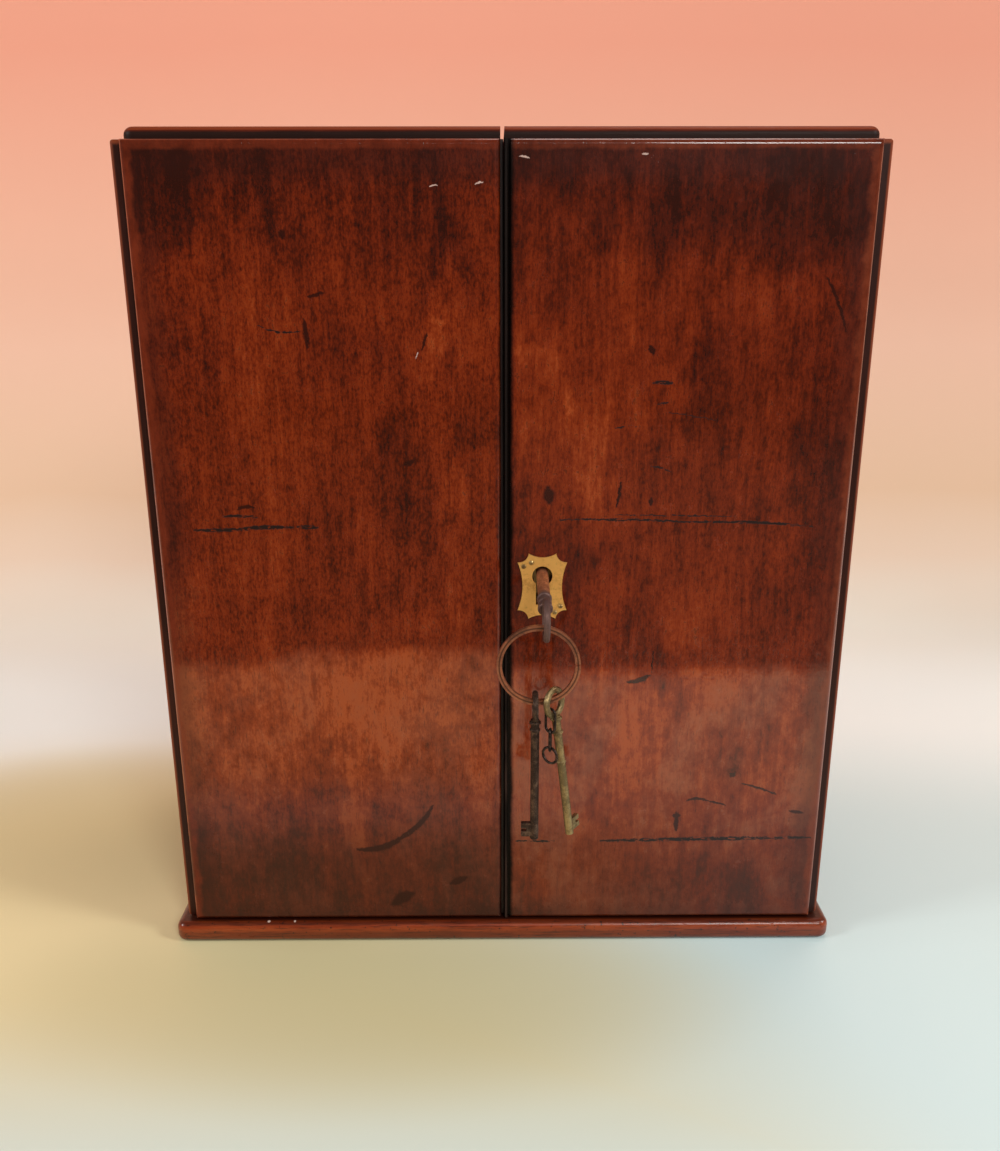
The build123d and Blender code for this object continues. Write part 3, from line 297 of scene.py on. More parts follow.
def grain(paint, along, across, depth, seed):
    """Tone of the timber from 0 to 1, fine pores along the grain, and the broad figure."""
    sway = (paint.noise(along * 0.006, across * 0.018, seed) - 0.5) * 14.0
    side = across + sway
    figure = paint.noise(along * 0.012, side * 0.030, depth * 0.02 + seed, detail=5.0, roughness=0.62,
                         distortion=0.8)
    streak = paint.noise(along * 0.030, side * 0.40, depth * 0.3 + seed, detail=5.0, roughness=0.68)
    pore = paint.noise(along * 0.26, side * 1.7, depth * 1.5 + seed, detail=2.0, roughness=0.5)
    tone = 0.50 + (figure - 0.5) * 0.85 + (streak - 0.5) * 0.85
    return tone, paint.step(pore, 0.60, 0.72), figure


def mottle(paint, seed):
    """Blotches of old varnish and dirt on the front, from broad clouds down to specks of a millimetre."""
    x, z = paint.x, paint.z
    broad = paint.noise(x * 0.018, z * 0.011, seed, detail=5.0, roughness=0.6, distortion=1.1)
    fine = paint.noise(x * 0.16, z * 0.11, seed + 4.0, detail=4.0, roughness=0.72)
    speck = paint.noise(x * 0.95, z * 0.42, seed + 9.0, detail=3.0, roughness=0.65)
    return broad, fine, speck


def front_colour(paint, outer, seed, clouds, wear):
    """Figured wood under old varnish, painted lighter below a level line as a reflection of the floor, and
    dark at the foot.
    """
    x, height = paint.x, paint.z - FACE_FOOT
    tone, pores, figure = grain(paint, paint.z, x, paint.y, seed)
    broad, fine, speck = clouds
    # Below a level line the wood is painted lighter and greyish: a painted reflection of the bright floor.
    level = height + paint.step(x, *GLOW_DIP_SPAN) * GLOW_DIP + (fine - 0.5) * 8.0
    floor_glow = paint.step(level, GLOW_TOP[outer] + 2.0, GLOW_TOP[outer] - 5.0)
    tone = tone + (broad - 0.5) * 0.42 + (fine - 0.5) * (0.78 + floor_glow * 0.5)
    tone = tone + (speck - 0.5) * (SPECKLE[outer] - floor_glow * 0.35)
    tone = tone + (figure - 0.5) * floor_glow * 0.6
    paint.warp(0.06, 22.0)
    for place, radii, gain in wear["warm spots"]:
        tone = tone + paint.spot(*place, radii) * gain
    for start, end, width, bend, gain in wear["flames"]:
        tone = tone + paint.stroke(start, end, width, bend) * gain
    tone = tone - DEEPER[outer] + floor_glow * (GLOW_GAIN + DEEPER[outer])
    foot = paint.step(height + (broad - 0.5) * 40.0, *FOOT_SPAN)
    tone = tone - foot * FOOT_SHADE[outer]
    tone = tone - paint.step(height + (broad - 0.5) * 60.0, *TOP_SPAN) * TOP_SHADE

    colour = paint.ramp(tone, *FRONT_TONES)
    colour = paint.mix(pores * 0.5, colour, DEEP)
    flecks = paint.step(speck + (fine - 0.5) * 0.5, 0.60, 0.70)
    colour = paint.mix(flecks * (0.6 - floor_glow * 0.42), colour, DEEP)
    # greyish painted reflection in patches where it is strongest
    cloudy = floor_glow * paint.step(broad + (fine - 0.5) * 0.5, 0.40, 0.66)
    colour = paint.mix(cloudy * GLOW_FILM_SHARE[outer], colour, GLOW_FILM)
    colour = paint.mix(foot * FOOT_SMOOTH[outer], colour, FOOT_PURPLE[outer])
    return colour, pores, flecks


def front_edges(paint, outer, seed, clouds, colour):
    """Dirt round the edges, a rubbed band outside it, the bare arris with a painted highlight along it, and
    painted shade at the gap between the doors.
    """
    x, height = paint.x, paint.z - FACE_FOOT
    broad, fine, _ = clouds
    wander = (paint.noise(x * 0.07, height * 0.07, seed + 2.0, detail=5.0, roughness=0.7) - 0.5) * 9.0
    to_side = HALF_FACE - x * outer
    to_top = FACE_TOP - paint.z
    to_gap = x * outer
    dirt_and_shade = paint.union(paint.step(to_side + wander * 2.4, 17.0, 5.0) * 0.9,
                       paint.step(to_top + wander, 22.0, 7.0),
                       paint.step(height + wander, 12.0, 1.0) * 0.7)
    colour = paint.mix(dirt_and_shade * 0.5, colour, DEEP)
    rub_and_sheen = paint.union(paint.step(to_side + wander * 0.9, 5.2, 2.6),
                      paint.step(to_top + wander * 0.4, 4.6, 3.0) * 0.8)
    colour = paint.mix(rub_and_sheen * (fine * 1.2), colour, paint.mix(fine, BODY, BAND[outer]))
    # bare arris, with a painted highlight along it
    arris = paint.union(paint.step(to_side + wander * 0.05, 1.15, 0.45),
                        paint.step(to_top + wander * 0.05, 0.9, 0.35) * 0.2)
    broken = paint.step(broad + (fine - 0.5) * 0.6, 0.36, 0.56)
    colour = paint.mix(arris * broken * 0.8, colour, ARRIS_AND_HIGHLIGHT[outer])
    # painted shade at the gap between the doors
    gap_shade = paint.step(to_gap + wander * 0.25, GAP_SHADE_WIDTH[outer], GAP_SHADE_WIDTH[outer] - 2.2)
    return paint.mix(gap_shade * 0.97, colour, SHADE_BLACK), dirt_and_shade, gap_shade


def front_damage(paint, seed, colour, wear):
    """Cracks, dark scratches and small chips."""
    height = paint.z - FACE_FOOT
    paint.warp(0.45, 2.2)
    ragged = paint.step(paint.noise(paint.x * 0.34, height * 0.9, seed + 7.0, detail=3.0), 0.36, 0.47)
    crack = paint.union(*[paint.stroke(*line) for line in wear["cracks"]]) * ragged
    colour = paint.mix(crack, colour, GRIME_AND_SHADE)
    marks = paint.union(*[paint.stroke(*line) for line in wear["marks"]])
    colour = paint.mix(marks * 0.95, colour, DEEP)
    chips = paint.union(*[paint.stroke(*line) for line in wear["chips"]])
    return paint.mix(chips, colour, CHIP), crack


def front(name, outer, seed, wear):
    """Front facing of one door. outer is -1 for the left door and 1 for the right one."""
    paint = Paint(name)
    clouds = mottle(paint, seed)
    colour, pores, flecks = front_colour(paint, outer, seed, clouds, wear)
    colour, dirt_and_shade, gap_shade = front_edges(paint, outer, seed, clouds, colour)
    colour, crack = front_damage(paint, seed, colour, wear)
    fine = clouds[1]
    height = paint.z - FACE_FOOT
    roughness = 0.24 + (fine - 0.5) * 0.22 + crack * 0.3 + dirt_and_shade * 0.10
    swell = paint.noise(paint.x * 0.012, height * 0.008, seed + 5.0, detail=1.0)
    skin = paint.bump(swell * 1.1 + fine * 0.04 - pores * 0.02 - flecks * 0.015, 1.0, MM)
    varnish = (1.0 - paint.step(height, 96.0, 22.0) * 0.55) * (1.0 - gap_shade) * COAT[outer]
    return paint.finish(colour, roughness, skin, coat=varnish, coat_roughness=0.06, specular=0.12)


def timber(name, along, tones, seed, roughness=0.42, coat=0.0, edge=None, specular=0.42):
    """Plain board: grain along one axis, tones from dark to light; edge adds its wear and painted light."""
    paint = Paint(name)
    x, y, z = paint.x, paint.y, paint.z
    run, side, depth = {"X": (x, z, y), "Y": (y, z, x), "Z": (z, x, y)}[along]
    tone, pores, _ = grain(paint, run, side + depth * 0.7, depth, seed)
    fine = paint.noise(run * 0.05, side * 0.2, depth * 0.2 + seed, detail=4.0, roughness=0.65)
    tone = tone + (fine - 0.5) * 0.6
    dark, middle, light = tones
    colour = paint.ramp(tone, (0.08, dark), (0.5, middle), (0.95, light))
    colour = paint.mix(pores * 0.4, colour, dark)
    if edge is not None:
        colour = edge(paint, colour)
    skin = paint.bump(fine, 0.12, 0.4 * MM)
    skin = paint.bump(pores * -1.0, 0.3, 0.1 * MM, skin)
    return paint.finish(colour, roughness + (fine - 0.5) * 0.16, skin, coat=coat, coat_roughness=0.14,
                        specular=specular)


def side_wear_and_shade(paint, colour):
    """Painted shade on the flat of a side, darkest just behind the face; rubbed wood with a painted
    highlight at its front and top arris.
    """
    wander = (paint.noise(paint.x, paint.y * 0.06, paint.z * 0.06, detail=4.0) - 0.5) * 3.0
    to_face = paint.y - FACE_Y
    to_top = FACE_TOP - paint.z
    out = HALF_BODY - abs(paint.x)
    # painted shade where the side lies back behind the face
    dirt_and_shade = paint.step(to_face + wander, 16.0, 5.0)
    colour = paint.mix(dirt_and_shade * 0.75, colour, GRIME_AND_SHADE)
    # rubbed wood and a painted highlight along the arrises
    rub_and_sheen = paint.union(paint.step(out + wander * 0.12, 1.9, 0.7) * paint.step(to_face, 9.0, 4.5),
                      paint.step(to_top + wander * 0.2, 2.2, 0.8))
    return paint.mix(rub_and_sheen * 0.8, colour, WORN_AND_HIGHLIGHT)


def top_wear_and_light(paint, colour):
    """Painted shade in the angle under the top, rubbed wood with a painted highlight on its rounding."""
    wander = (paint.noise(paint.x * 0.05, paint.y * 0.05, paint.z, detail=4.0) - 0.5) * 1.6
    # painted shade in the angle under the top
    low = paint.step(paint.z + wander * 0.5, FACE_TOP + 3.3, FACE_TOP + 2.5)
    near = paint.step(paint.y, DOOR_BACK_Y, DOOR_BACK_Y - 6.0)
    colour = paint.mix(low * 0.92, colour, GRIME_AND_SHADE)
    # painted highlight and rubbed wood on the top's rounding
    rub_and_sheen = paint.step(abs(paint.z + wander * 0.3 - (BOX_TOP - 0.6)), 1.2, 0.6) * near
    return paint.mix(rub_and_sheen * 0.8, colour, TOP_RUB_AND_HIGHLIGHT)


# Each chip has its place, x and then y and z from the base's front and top, and its half length.
BASE_CHIPS = (((-154.3, 4.6, -2.4), 0.8), ((-112.0, 2.6, -0.2), 1.1), ((-99.6, 2.6, -0.2), 0.8))


def base_wear_and_shade(paint, colour):
    """Bull nose of the base: polished orange-red above, with painted shade below and along its top by the
    doors; small chips.
    """
    x, y, z = paint.x, paint.y, paint.z
    inward = paint.low(BASE_HIGH.x - abs(x), paint.low(y - BASE_LOW.y, BASE_HIGH.y - y))
    wander = (paint.noise(x * 0.05, y * 0.05, z * 0.3, detail=4.0) - 0.5) * 1.6
    top = BASE_HIGH.z
    # painted shade on the base's top where it meets the doors
    seam_shade = paint.step(inward + wander * 0.3, 2.7, 3.6) * paint.step(z, top - 1.5, top - 0.4)
    colour = paint.mix(seam_shade * 0.85, colour, GRIME_AND_SHADE)
    # painted shade: darker under the bull nose, on its bottom and along its top edge
    low = paint.union(paint.step(z + wander * 0.4, 6.4, 4.6) * 0.42,
                      paint.step(z + wander * 0.2, 1.9, 1.0),
                      paint.step(z + wander * 0.2, top - 1.5, top - 0.5) * 0.7)
    colour = paint.mix(low * 0.95, colour, DEEP)
    streaks = paint.step(paint.noise(x * 0.07, y * 1.1, z * 1.1, detail=4.0, roughness=0.7), 0.50, 0.66)
    colour = paint.mix(streaks * 0.65, colour, DEEP)
    fleck = paint.step(paint.noise(x * 0.5, y * 0.5, z * 0.5, detail=2.0), 0.655, 0.70)
    colour = paint.mix(fleck * 0.8, colour, GRIME_AND_SHADE)
    chips = []
    for place, reach in BASE_CHIPS:
        dx, dy, dz = x - place[0], y - BASE_LOW.y - place[1], z - top - place[2]
        gap = paint.math("SQRT", dx * dx * (1 / reach ** 2) + dy * dy + dz * dz)
        chips.append(paint.step(gap + wander * 0.3, 0.85, 0.4))
    return paint.mix(paint.union(*chips), colour, BASE_CHIP)


def bead_reflection(paint, colour):
    """The bead is painted near black, a painted shade of the gap between the doors, and lighter in patches
    in its lower half, a painted reflection of the floor.
    """
    patches = paint.noise(paint.x * 0.1, paint.y, paint.z * 0.05)
    # lighter patches below: a painted reflection of the floor
    rub_and_sheen = paint.step(paint.z, 150.0, 100.0) * paint.step(patches, 0.36, 0.62)
    return paint.mix(rub_and_sheen * 0.6, colour, BEAD_REFLECTION)


# ---------------------------------------------------------------- metal
# Each metal has its bright and its dull colour.
PLATE_BRASS = ((0.90, 0.46, 0.115), (0.60, 0.28, 0.062))
PIN_BRASS = ((0.55, 0.38, 0.16), (0.20, 0.12, 0.05))
HINGE_BRASS = ((0.60, 0.42, 0.16), (0.44, 0.29, 0.11))
SCREW_BRASS = ((0.60, 0.44, 0.20), (0.26, 0.17, 0.07))
LOCK_BRASS = ((0.60, 0.43, 0.18), (0.45, 0.31, 0.12))
SCREW_STEEL = ((0.45, 0.44, 0.43), (0.20, 0.17, 0.15))
KEY_BRONZE = ((0.50, 0.185, 0.085), (0.30, 0.100, 0.045))
RING_STEEL = ((0.47, 0.175, 0.090), (0.25, 0.085, 0.045))
KEY_IRON = ((0.17, 0.105, 0.075), (0.055, 0.034, 0.026))
KEY_BRASS = ((0.42, 0.30, 0.14), (0.22, 0.155, 0.075))
CHAIN_IRON = ((0.11, 0.075, 0.060), (0.028, 0.020, 0.017))

KEY_NECK = (0.115, 0.075, 0.072)      # greyish part of the lock key
NECK_START, NECK_FULL = 15.0, 20.0    # how far before the key plate it starts, and where it is full
RING_GROOVE = 1.05                    # from the outside of the split ring to the line between its turns
RING_LINE = (0.035, 0.016, 0.010)
RING_DULL = (0.10, 0.048, 0.030)
PLATE_SPECK = (0.10, 0.06, 0.02)
PLATE_SPECKS = ((8.9, 175.4), (12.3, 177.0), (24.7, 157.6), (22.4, 154.8))      # their x and height
SPECK_RADII = (1.5, 1.5)


def metal(name, tones, seed, roughness=0.30, cover=0.5, scale=1.0, pitting=0.25, scratches=0.2,
          extra=None, metallic=0.9):
    """Worn metal: bright where it is rubbed, with a dull film over the rest, fine scratches and pits."""
    paint = Paint(name)
    bright, dull = tones
    x, y, z = paint.x * scale, paint.y * scale, paint.z * scale
    film = paint.noise(x * 0.22 + seed, y * 0.22, z * 0.22, detail=5.0, roughness=0.65)
    fine = paint.noise(x * 1.3 + seed, y * 1.3, z * 1.3, detail=4.0, roughness=0.6)
    lines = paint.noise(x * 0.6 + seed, y * 0.6, z * 9.0, detail=2.0)
    share = paint.step(film + (fine - 0.5) * 0.5, cover - 0.16, cover + 0.14)
    colour = paint.mix(share, bright, dull)
    if extra is not None:
        colour = extra(paint, colour)
    skin = paint.bump(fine, pitting, 0.12 * MM)
    skin = paint.bump(lines, scratches, 0.04 * MM, skin)
    return paint.finish(colour, roughness + share * 0.22 + (fine - 0.5) * 0.15, skin, metallic=metallic)


def key_shank_wear(paint, colour):
    """The key is coppery near the lock and greyish at its neck and bow."""
    neck = paint.step(paint.y, ESCUTCHEON_Y - NECK_START, ESCUTCHEON_Y - NECK_FULL)
    return paint.mix(neck * 0.85, colour, KEY_NECK)


def ring_turns(paint, colour):
    """Dark scratched line round the flat of the split ring, and duller patches."""
    dx, dz = paint.x - (RING_LOW.x + RING_HIGH.x) / 2, paint.z - (RING_LOW.z + RING_HIGH.z) / 2
    inward = (RING_HIGH.x - RING_LOW.x) / 2 - paint.math("SQRT", dx * dx + dz * dz)
    groove = paint.step(abs(inward - RING_GROOVE), 0.45, 0.12)
    worn = paint.noise(paint.x * 0.15, paint.y * 0.15, paint.z * 0.15, detail=3.0)
    colour = paint.mix(groove * 0.75, colour, RING_LINE)
    return paint.mix(paint.step(worn, 0.50, 0.66) * 0.6, colour, RING_DULL)


def plate_marks(paint, colour):
    """Dark specks round the pins of the key plate."""
    paint.warp(0.8, 1.4)
    dots = [paint.spot(x, z, SPECK_RADII) for x, z in PLATE_SPECKS]
    return paint.mix(paint.union(*dots) * 0.45, colour, PLATE_SPECK)


# ---------------------------------------------------------------- marks on the two fronts, in mm
# Places are x and the height above the foot of the doors.  Cracks, marks, chips and flames are
# strokes: start, end, width and bend, and for a flame how much lighter it is.  A warm spot has its
# middle, its radii and how much lighter or darker it is.
LEFT_WEAR = {
    "cracks": [
        ((-131.0, 191.6), (-104.0, 192.3), 1.2, -0.3), ((-112.0, 192.0), (-89.0, 192.6), 1.6, 0.4),
        ((-87.0, 192.9), (-78.5, 192.7), 1.4, 0.0), ((-119.0, 197.6), (-104.0, 197.2), 1.1, 0.2),
        ((-98.1, 276.0), (-81.0, 273.8), 0.7, -1.6)],
    "marks": [
        ((-68.0, 37.6), (-45.0, 46.0), 2.8, -3.0), ((-52.0, 41.6), (-32.4, 60.4), 2.2, -2.6),
        ((-86.5, 312.0), (-86.1, 309.2), 2.4, 0.0), ((-52.0, 8.2), (-43.0, 13.7), 5.2, 0.5),
        ((-24.5, 19.2), (-17.5, 22.2), 3.2, 0.0), ((-79.6, 278.2), (-78.6, 267.2), 1.7, 0.0),
        ((-112.0, 200.4), (-105.0, 201.4), 1.4, 0.8), ((-77.5, 287.0), (-71.5, 288.4), 1.3, 0.0),
        ((-30.5, 273.2), (-32.5, 266.2), 0.8, 0.0), ((-37.0, 221.2), (-41.0, 219.2), 2.2, 0.0)],
    "chips": [
        ((-28.0, 328.2), (-25.4, 328.4), 0.6, 0.3), ((-10.4, 328.8), (-7.6, 329.6), 0.6, 0.3),
        ((-35.2, 262.8), (-34.2, 265.6), 0.35, 0.0)],
    "flames": [
        ((-21.0, 301.0), (-30.0, 277.0), 7.0, 1.0, 0.14), ((-29.5, 279.0), (-33.0, 252.0), 7.0, 1.5, 0.15),
        ((-25.0, 202.0), (-2.0, 222.0), 18.0, 2.0, 0.16)],
    "warm spots": [
        ((-22.0, 258.0), (9.0, 30.0), 0.10), ((-14.0, 180.0), (14.0, 40.0), 0.14),
        ((-67.0, 62.0), (8.0, 32.0), 0.32), ((-92.0, 250.0), (26.0, 60.0), 0.14),
        ((-80.0, 112.0), (36.0, 24.0), 0.14), ((-106.0, 176.0), (22.0, 22.0), 0.12),
        ((-136.0, 326.0), (26.0, 30.0), -0.34), ((-44.0, 214.0), (16.0, 40.0), -0.20),
        ((-36.0, 305.0), (26.0, 30.0), -0.12), ((-28.0, 116.0), (9.0, 24.0), 0.16),
        ((-30.0, 78.0), (20.0, 28.0), -0.14), ((-128.0, 70.0), (14.0, 46.0), -0.10)],
}
RIGHT_WEAR = {
    "cracks": [
        ((24.3, 195.7), (84.0, 194.3), 0.9, 0.6), ((76.0, 194.4), (132.0, 192.4), 1.0, 1.0),
        ((47.6, 197.8), (98.0, 196.9), 0.5, 0.0), ((45.4, 41.6), (143.7, 42.8), 1.7, 0.2),
        ((6.0, 41.8), (24.0, 41.4), 0.9, 0.0), ((61.2, 253.0), (69.2, 252.8), 1.3, 0.2),
        ((61.6, 244.6), (68.0, 244.8), 0.7, 0.0), ((46.6, 234.4), (55.6, 235.2), 0.7, 0.2),
        ((67.0, 241.0), (88.0, 237.6), 0.35, 0.2), ((62.0, 218.6), (70.0, 216.6), 0.7, 0.2)],
    "marks": [
        ((80.4, 55.6), (80.6, 53.6), 3.4, 0.0), ((80.4, 54.2), (80.6, 46.8), 1.8, 0.0),
        ((55.6, 121.4), (65.0, 124.6), 1.9, -0.8), ((66.4, 136.0), (66.0, 126.0), 0.6, 0.0),
        ((19.0, 209.2), (19.6, 203.2), 4.0, 0.0), ((85.0, 62.4), (95.0, 62.0), 1.2, 1.2),
        ((95.0, 61.8), (103.0, 60.0), 0.9, 0.3), ((104.6, 74.6), (106.0, 76.6), 2.4, 0.0),
        ((110.0, 71.0), (126.0, 65.4), 1.0, 0.4), ((59.4, 267.6), (61.2, 264.6), 2.0, 0.0),
        ((49.4, 211.8), (47.8, 201.0), 1.1, 0.4), ((62.8, 204.8), (62.4, 202.0), 1.9, 0.0),
        ((129.0, 294.0), (138.5, 273.0), 1.1, 0.8), ((133.0, 56.8), (139.0, 56.0), 1.7, 0.0)],
    "chips": [
        ((6.6, 339.1), (10.4, 338.1), 0.7, 0.2), ((53.6, 339.8), (56.0, 339.8), 0.5, 0.0)],
    "flames": [
        ((2.0, 267.0), (28.0, 246.0), 9.0, 4.0, 0.16), ((28.5, 249.0), (36.0, 202.0), 11.0, 3.5, 0.17)],
    "warm spots": [
        ((40.0, 228.0), (8.0, 50.0), 0.16), ((22.0, 270.0), (22.0, 16.0), 0.12),
        ((14.0, 236.0), (14.0, 26.0), 0.08), ((56.0, 90.0), (12.0, 38.0), 0.12),
        ((44.0, 152.0), (12.0, 34.0), 0.22), ((78.0, 151.0), (16.0, 22.0), 0.12),
        ((34.0, 66.0), (12.0, 34.0), 0.16), ((104.0, 92.0), (20.0, 26.0), -0.20),
        ((118.0, 318.0), (36.0, 30.0), -0.22), ((130.0, 230.0), (16.0, 90.0), -0.16),
        ((62.0, 318.0), (40.0, 22.0), -0.14), ((100.0, 20.0), (40.0, 18.0), -0.22),
        ((22.0, 178.0), (22.0, 22.0), -0.14), ((86.0, 246.0), (14.0, 40.0), -0.10)],
}


# ---------------------------------------------------------------- dressing the model
def dress(material, *names):
    for name in names:
        mesh = NODES[name].data
        mesh.materials.clear()
        mesh.materials.append(material)


def shade(names, angle=32.0):
    """Smooth shading over roundings, sharp at the arrises."""
    for name in names:
        NODES[name].data.set_sharp_from_angle(angle=radians(angle))
        for face in NODES[name].data.polygons:
            face.use_smooth = True


def dress_outside():
    dress(front("left front", -1, 3.1, LEFT_WEAR), "left_door_front_facing")
    dress(front("right front", 1, 17.4, RIGHT_WEAR), "right_door_front_facing")
    dress(timber("side facing", "Z", MAHOGANY_DARK, 6.0, roughness=0.40, edge=side_wear_and_shade, specular=0.22),
          "left_door_side_facing", "right_door_side_facing",
          "case_left_side_facing", "case_right_side_facing")
    dress(timber("top facing", "X", MAHOGANY_DARK, 9.0, roughness=0.48, edge=top_wear_and_light, specular=0.14),
          "left_door_top_facing", "right_door_top_facing", "case_top_facing")
    dress(timber("base", "X", MAHOGANY_BASE, 12.0, roughness=0.30, coat=0.22, edge=base_wear_and_shade),
          "base_board")
    dress(timber("bead", "Z", BEAD_TONES, 4.0, roughness=0.6, edge=bead_reflection, specular=0.14),
          "meeting_bead")
    dress(timber("strip", "Z", STRIP_TONES, 5.0, roughness=0.5), "closing_strip")


def dress_inside():
    dress(timber("plain upright", "Z", MAHOGANY_PLAIN, 21.0),
          "case_left_side", "case_right_side", "case_back", "left_door_board", "right_door_board",
          "left_door_hinge_stile", "right_door_hinge_stile",
          "left_door_meeting_stile", "right_door_meeting_stile")
    dress(timber("plain across", "X", MAHOGANY_PLAIN, 24.0),
          "case_top", "case_bottom", "left_door_top_rail", "right_door_top_rail",
          "left_door_bottom_rail", "right_door_bottom_rail")
    dress(timber("rack across", "X", MAHOGANY_RACK, 31.0, roughness=0.38),
          "shelf", "letter_divider_front", "letter_divider_middle", "letter_divider_rear", "pen_tray",
          "left_door_paper_rail", "right_door_paper_rail")
    dress(timber("rack along", "Y", MAHOGANY_RACK, 34.0, roughness=0.38), "shelf_partition")


def dress_fittings():
    dress(metal("plate brass", PLATE_BRASS, 2.0, roughness=0.34, cover=0.60, scale=0.8, pitting=0.10,
                scratches=0.12, extra=plate_marks, metallic=0.5), "escutcheon")
    dress(metal("pin brass", PIN_BRASS, 3.0, roughness=0.35), "escutcheon_pins")
    dress(metal("hinge brass", HINGE_BRASS, 5.0, roughness=0.34, scale=0.5),
          "hinge_case_plates", "left_hinge_door_plates", "right_hinge_door_plates", "hinge_pins")
    dress(metal("screw brass", SCREW_BRASS, 7.0, roughness=0.36),
          "case_hinge_screws", "lock_screws", "left_hinge_door_screws", "right_hinge_door_screws",
          "left_door_fitting_screws")
    dress(metal("lock brass", LOCK_BRASS, 11.0, roughness=0.34, scale=0.5),
          "lock_case", "lock_cap", "lock_bolt", "strike_plate", "slide_bolt", "slide_bolt_plate")
    dress(metal("screw steel", SCREW_STEEL, 13.0, roughness=0.40), "base_screws")


def dress_keys():
    dress(metal("key bronze", KEY_BRONZE, 17.0, roughness=0.42, scale=1.6, pitting=0.4,
                extra=key_shank_wear, metallic=0.6), "lock_key")
    dress(metal("ring steel", RING_STEEL, 19.0, roughness=0.32, cover=0.54, scale=0.7, pitting=0.2,
                scratches=0.1, extra=ring_turns, metallic=0.7), "split_ring")
    dress(metal("key iron", KEY_IRON, 23.0, roughness=0.42, cover=0.46, scale=1.4, pitting=0.5), "iron_key")
    dress(metal("key brass", KEY_BRASS, 29.0, roughness=0.38, cover=0.48, pitting=0.5), "brass_key")
    dress(metal("chain iron", CHAIN_IRON, 37.0, roughness=0.34, cover=0.46, scale=2.0, pitting=0.4),
          "chain_upper_link", "chain_lower_link", "small_ring")


# ---------------------------------------------------------------- room
FLOOR_LEFT = (0.82, 0.72, 0.42)       # colours of the paper on the floor, behind the box and up the wall
FLOOR_RIGHT = (0.67, 0.83, 0.83)
FLOOR_BACK = (0.88, 0.97, 0.95)
FLOOR_NEAR_LEFT = (0.68, 0.52, 0.27)  # the floor as the doors mirror it
FLOOR_NEAR_RIGHT = (0.80, 0.80, 0.64)
FLOOR_BEYOND = (0.05, 0.04, 0.035)    # what they mirror in front of the paper
FLOOR_SHADOW = (0.62, 0.55, 0.31)        # yellowish painted shadows beside and before the box
# Each painted shadow has the x and y of its middle, its half width and its half depth.
SHADOW_PATCHES = ((-60.0, -120.0, 190.0, 80.0), (-245.0, 30.0, 170.0, 110.0))
WALL_COLOURS = ((0.0, (0.82, 0.82, 0.73)), (0.07, (0.82, 0.66, 0.52)), (0.16, (0.80, 0.56, 0.39)),
                (0.42, (0.90, 0.56, 0.42)), (0.62, (0.92, 0.51, 0.375)), (0.95, (0.90, 0.385, 0.272)))
WALL_TOP = 560.0                      # the places of the wall's colours are shares of this height, in mm
RIGHT_WALL_SHADE = 0.13                      # painted shade: how much darker the wall gets towards the right
SHEET_EDGE_Y = -458.0                 # in front of this the floor mirrored in the doors is dark
BEND_START, BEND_RADIUS = 0.32, 0.30  # where the paper starts to curve up, in metres
BEND_STEPS = 16
SHEET_NEAR, SHEET_HALF, SHEET_HEIGHT = -2.6, 3.0, 3.0      # near end, half width and height, in metres
LAMPS = {                             # place, size, power in watts and colour
    "front_lamp": ((0.50, -1.35, 1.00), 0.45, 8.0, (1.0, 0.985, 0.96)),
    "right_lamp": ((1.80, -0.75, 1.30), 0.50, 18.0, (1.0, 0.98, 0.95)),
    "left_lamp": ((-1.80, -0.65, 1.20), 0.50, 14.0, (1.0, 0.98, 0.95)),
    "top_lamp": ((0.25, 0.42, 1.50), 0.60, 3.6, (1.0, 0.98, 0.95)),
}
LAMP_TARGET = (0.0, -0.08, 0.17)
WORLD_COLOUR = (1.0, 0.98, 0.96)
WORLD_LIGHT = 0.37
MIRRORED_ROOM = 0.05                  # the room is dim where polished wood and brass mirror it


def paper_colour(paint):
    """Cream and greenish on the floor with painted shadows beside and before the box, warmer up the wall,
    and painted shade makes it a little darker towards the right.
    """
    x, y = paint.x, paint.y
    cloud = paint.noise(x * 0.004, y * 0.004, paint.z * 0.004, detail=2.0)
    cool = paint.union(paint.step(x + y * 0.5, -150.0, 90.0), paint.step(y, -115.0, -240.0) * 0.85)
    floor = paint.mix(cool, FLOOR_LEFT, FLOOR_RIGHT)
    floor = paint.mix(paint.step(y + abs(x) * 0.2, 60.0, 230.0), floor, FLOOR_BACK)
    # painted shadows of the box on the floor
    for middle_x, middle_y, half_width, half_depth in SHADOW_PATCHES:
        dx, dy = (x - middle_x) / half_width, (y - middle_y) / half_depth
        floor = paint.mix(paint.step(dx * dx + dy * dy, 1.0, 0.0) * 0.7, floor, FLOOR_SHADOW)
    wall = paint.ramp(paint.z / WALL_TOP + (cloud - 0.5) * 0.05, *WALL_COLOURS)
    colour = paint.mix(paint.step(y, 200.0, 400.0), floor, wall)
    # painted shade, darker towards the right of the wall
    wall_shade = 1.0 - paint.step(x, -250.0, 520.0) * paint.step(y, 150.0, 400.0) * RIGHT_WALL_SHADE
    return paint.vector_math("SCALE", colour, scale=wall_shade)


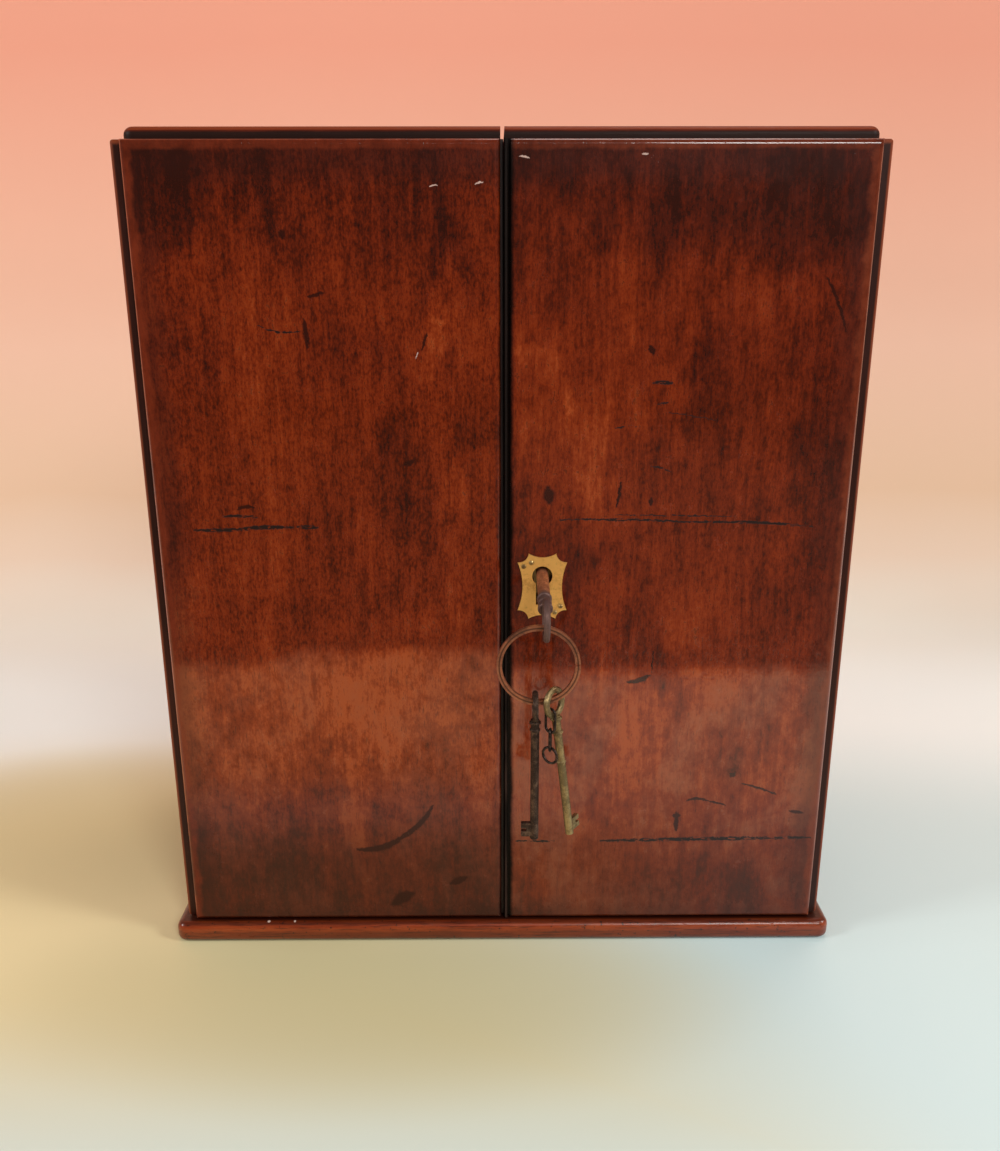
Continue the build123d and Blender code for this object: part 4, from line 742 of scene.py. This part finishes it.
def mirrored_floor(paint, colour):
    """The floor before the box as the varnish mirrors it: its own tints, and an end to the paper."""
    x, y = paint.x, paint.y
    glossy_ray = Value(paint, paint.tree.nodes.new("ShaderNodeLightPath").outputs["Is Glossy Ray"])
    near = paint.mix(paint.step(x, -20.0, 20.0), FLOOR_NEAR_LEFT, FLOOR_NEAR_RIGHT)
    colour = paint.mix(paint.step(y, -190.0, -250.0) * glossy_ray, colour, near)
    edge = y - paint.step(x, -150.0, -215.0) * 30.0 - paint.step(x, -12.0, 8.0) * 42.0
    beyond = glossy_ray * paint.step(edge, SHEET_EDGE_Y + 6.0, SHEET_EDGE_Y - 22.0)
    return paint.mix(beyond * 0.9, colour, FLOOR_BEYOND)


def paper():
    """Matt paper with a fine fibre."""
    paint = Paint("backdrop paper")
    fibre = paint.noise(paint.x * 0.5, paint.y * 0.5, paint.z * 0.5, detail=3.0)
    colour = mirrored_floor(paint, paper_colour(paint))
    return paint.finish(colour, 0.9, paint.bump(fibre, 0.08, 0.2 * MM), specular=0.1)


def sweep():
    """One sheet of paper: floor, wide curve, wall."""
    profile = [(SHEET_NEAR, 0.0), (BEND_START, 0.0)]
    for number in range(1, BEND_STEPS + 1):
        angle = radians(90 * number / BEND_STEPS)
        profile.append((BEND_START + BEND_RADIUS * sin(angle), BEND_RADIUS * (1 - cos(angle))))
    profile.append((BEND_START + BEND_RADIUS, SHEET_HEIGHT))
    mesh = bmesh.new()
    rows = [[mesh.verts.new((x, y, z)) for x in (-SHEET_HALF, SHEET_HALF)] for y, z in profile]
    for one, two in zip(rows, rows[1:]):
        mesh.faces.new((one[0], one[1], two[1], two[0])).smooth = True
    data = bpy.data.meshes.new("paper_sweep")
    mesh.to_mesh(data)
    mesh.free()
    data.materials.append(paper())
    sheet = bpy.data.objects.new("paper_sweep", data)
    bpy.context.scene.collection.objects.link(sheet)


def light():
    for name, (place, size, power, colour) in LAMPS.items():
        data = bpy.data.lights.new(name, "AREA")
        data.shape, data.size, data.energy, data.color = "DISK", size, power, colour
        lamp = bpy.data.objects.new(name, data)
        lamp.location = place
        lamp.rotation_euler = (Vector(LAMP_TARGET) - Vector(place)).to_track_quat("-Z", "Y").to_euler()
        bpy.context.scene.collection.objects.link(lamp)
    world = bpy.data.worlds.new("room")
    world.use_nodes = True
    tree = world.node_tree
    background = tree.nodes["Background"]
    background.inputs["Color"].default_value = (*WORLD_COLOUR, 1.0)
    strength = tree.nodes.new("ShaderNodeMapRange")
    strength.inputs["To Min"].default_value = WORLD_LIGHT
    strength.inputs["To Max"].default_value = MIRRORED_ROOM
    tree.links.new(tree.nodes.new("ShaderNodeLightPath").outputs["Is Glossy Ray"], strength.inputs["Value"])
    tree.links.new(strength.outputs["Result"], background.inputs["Strength"])
    bpy.context.scene.world = world


# ---------------------------------------------------------------- everything together
make_camera()
dress_outside()
dress_inside()
dress_fittings()
dress_keys()
shade(NODES)
sweep()
light()
bpy.context.scene.view_settings.view_transform = "Standard"
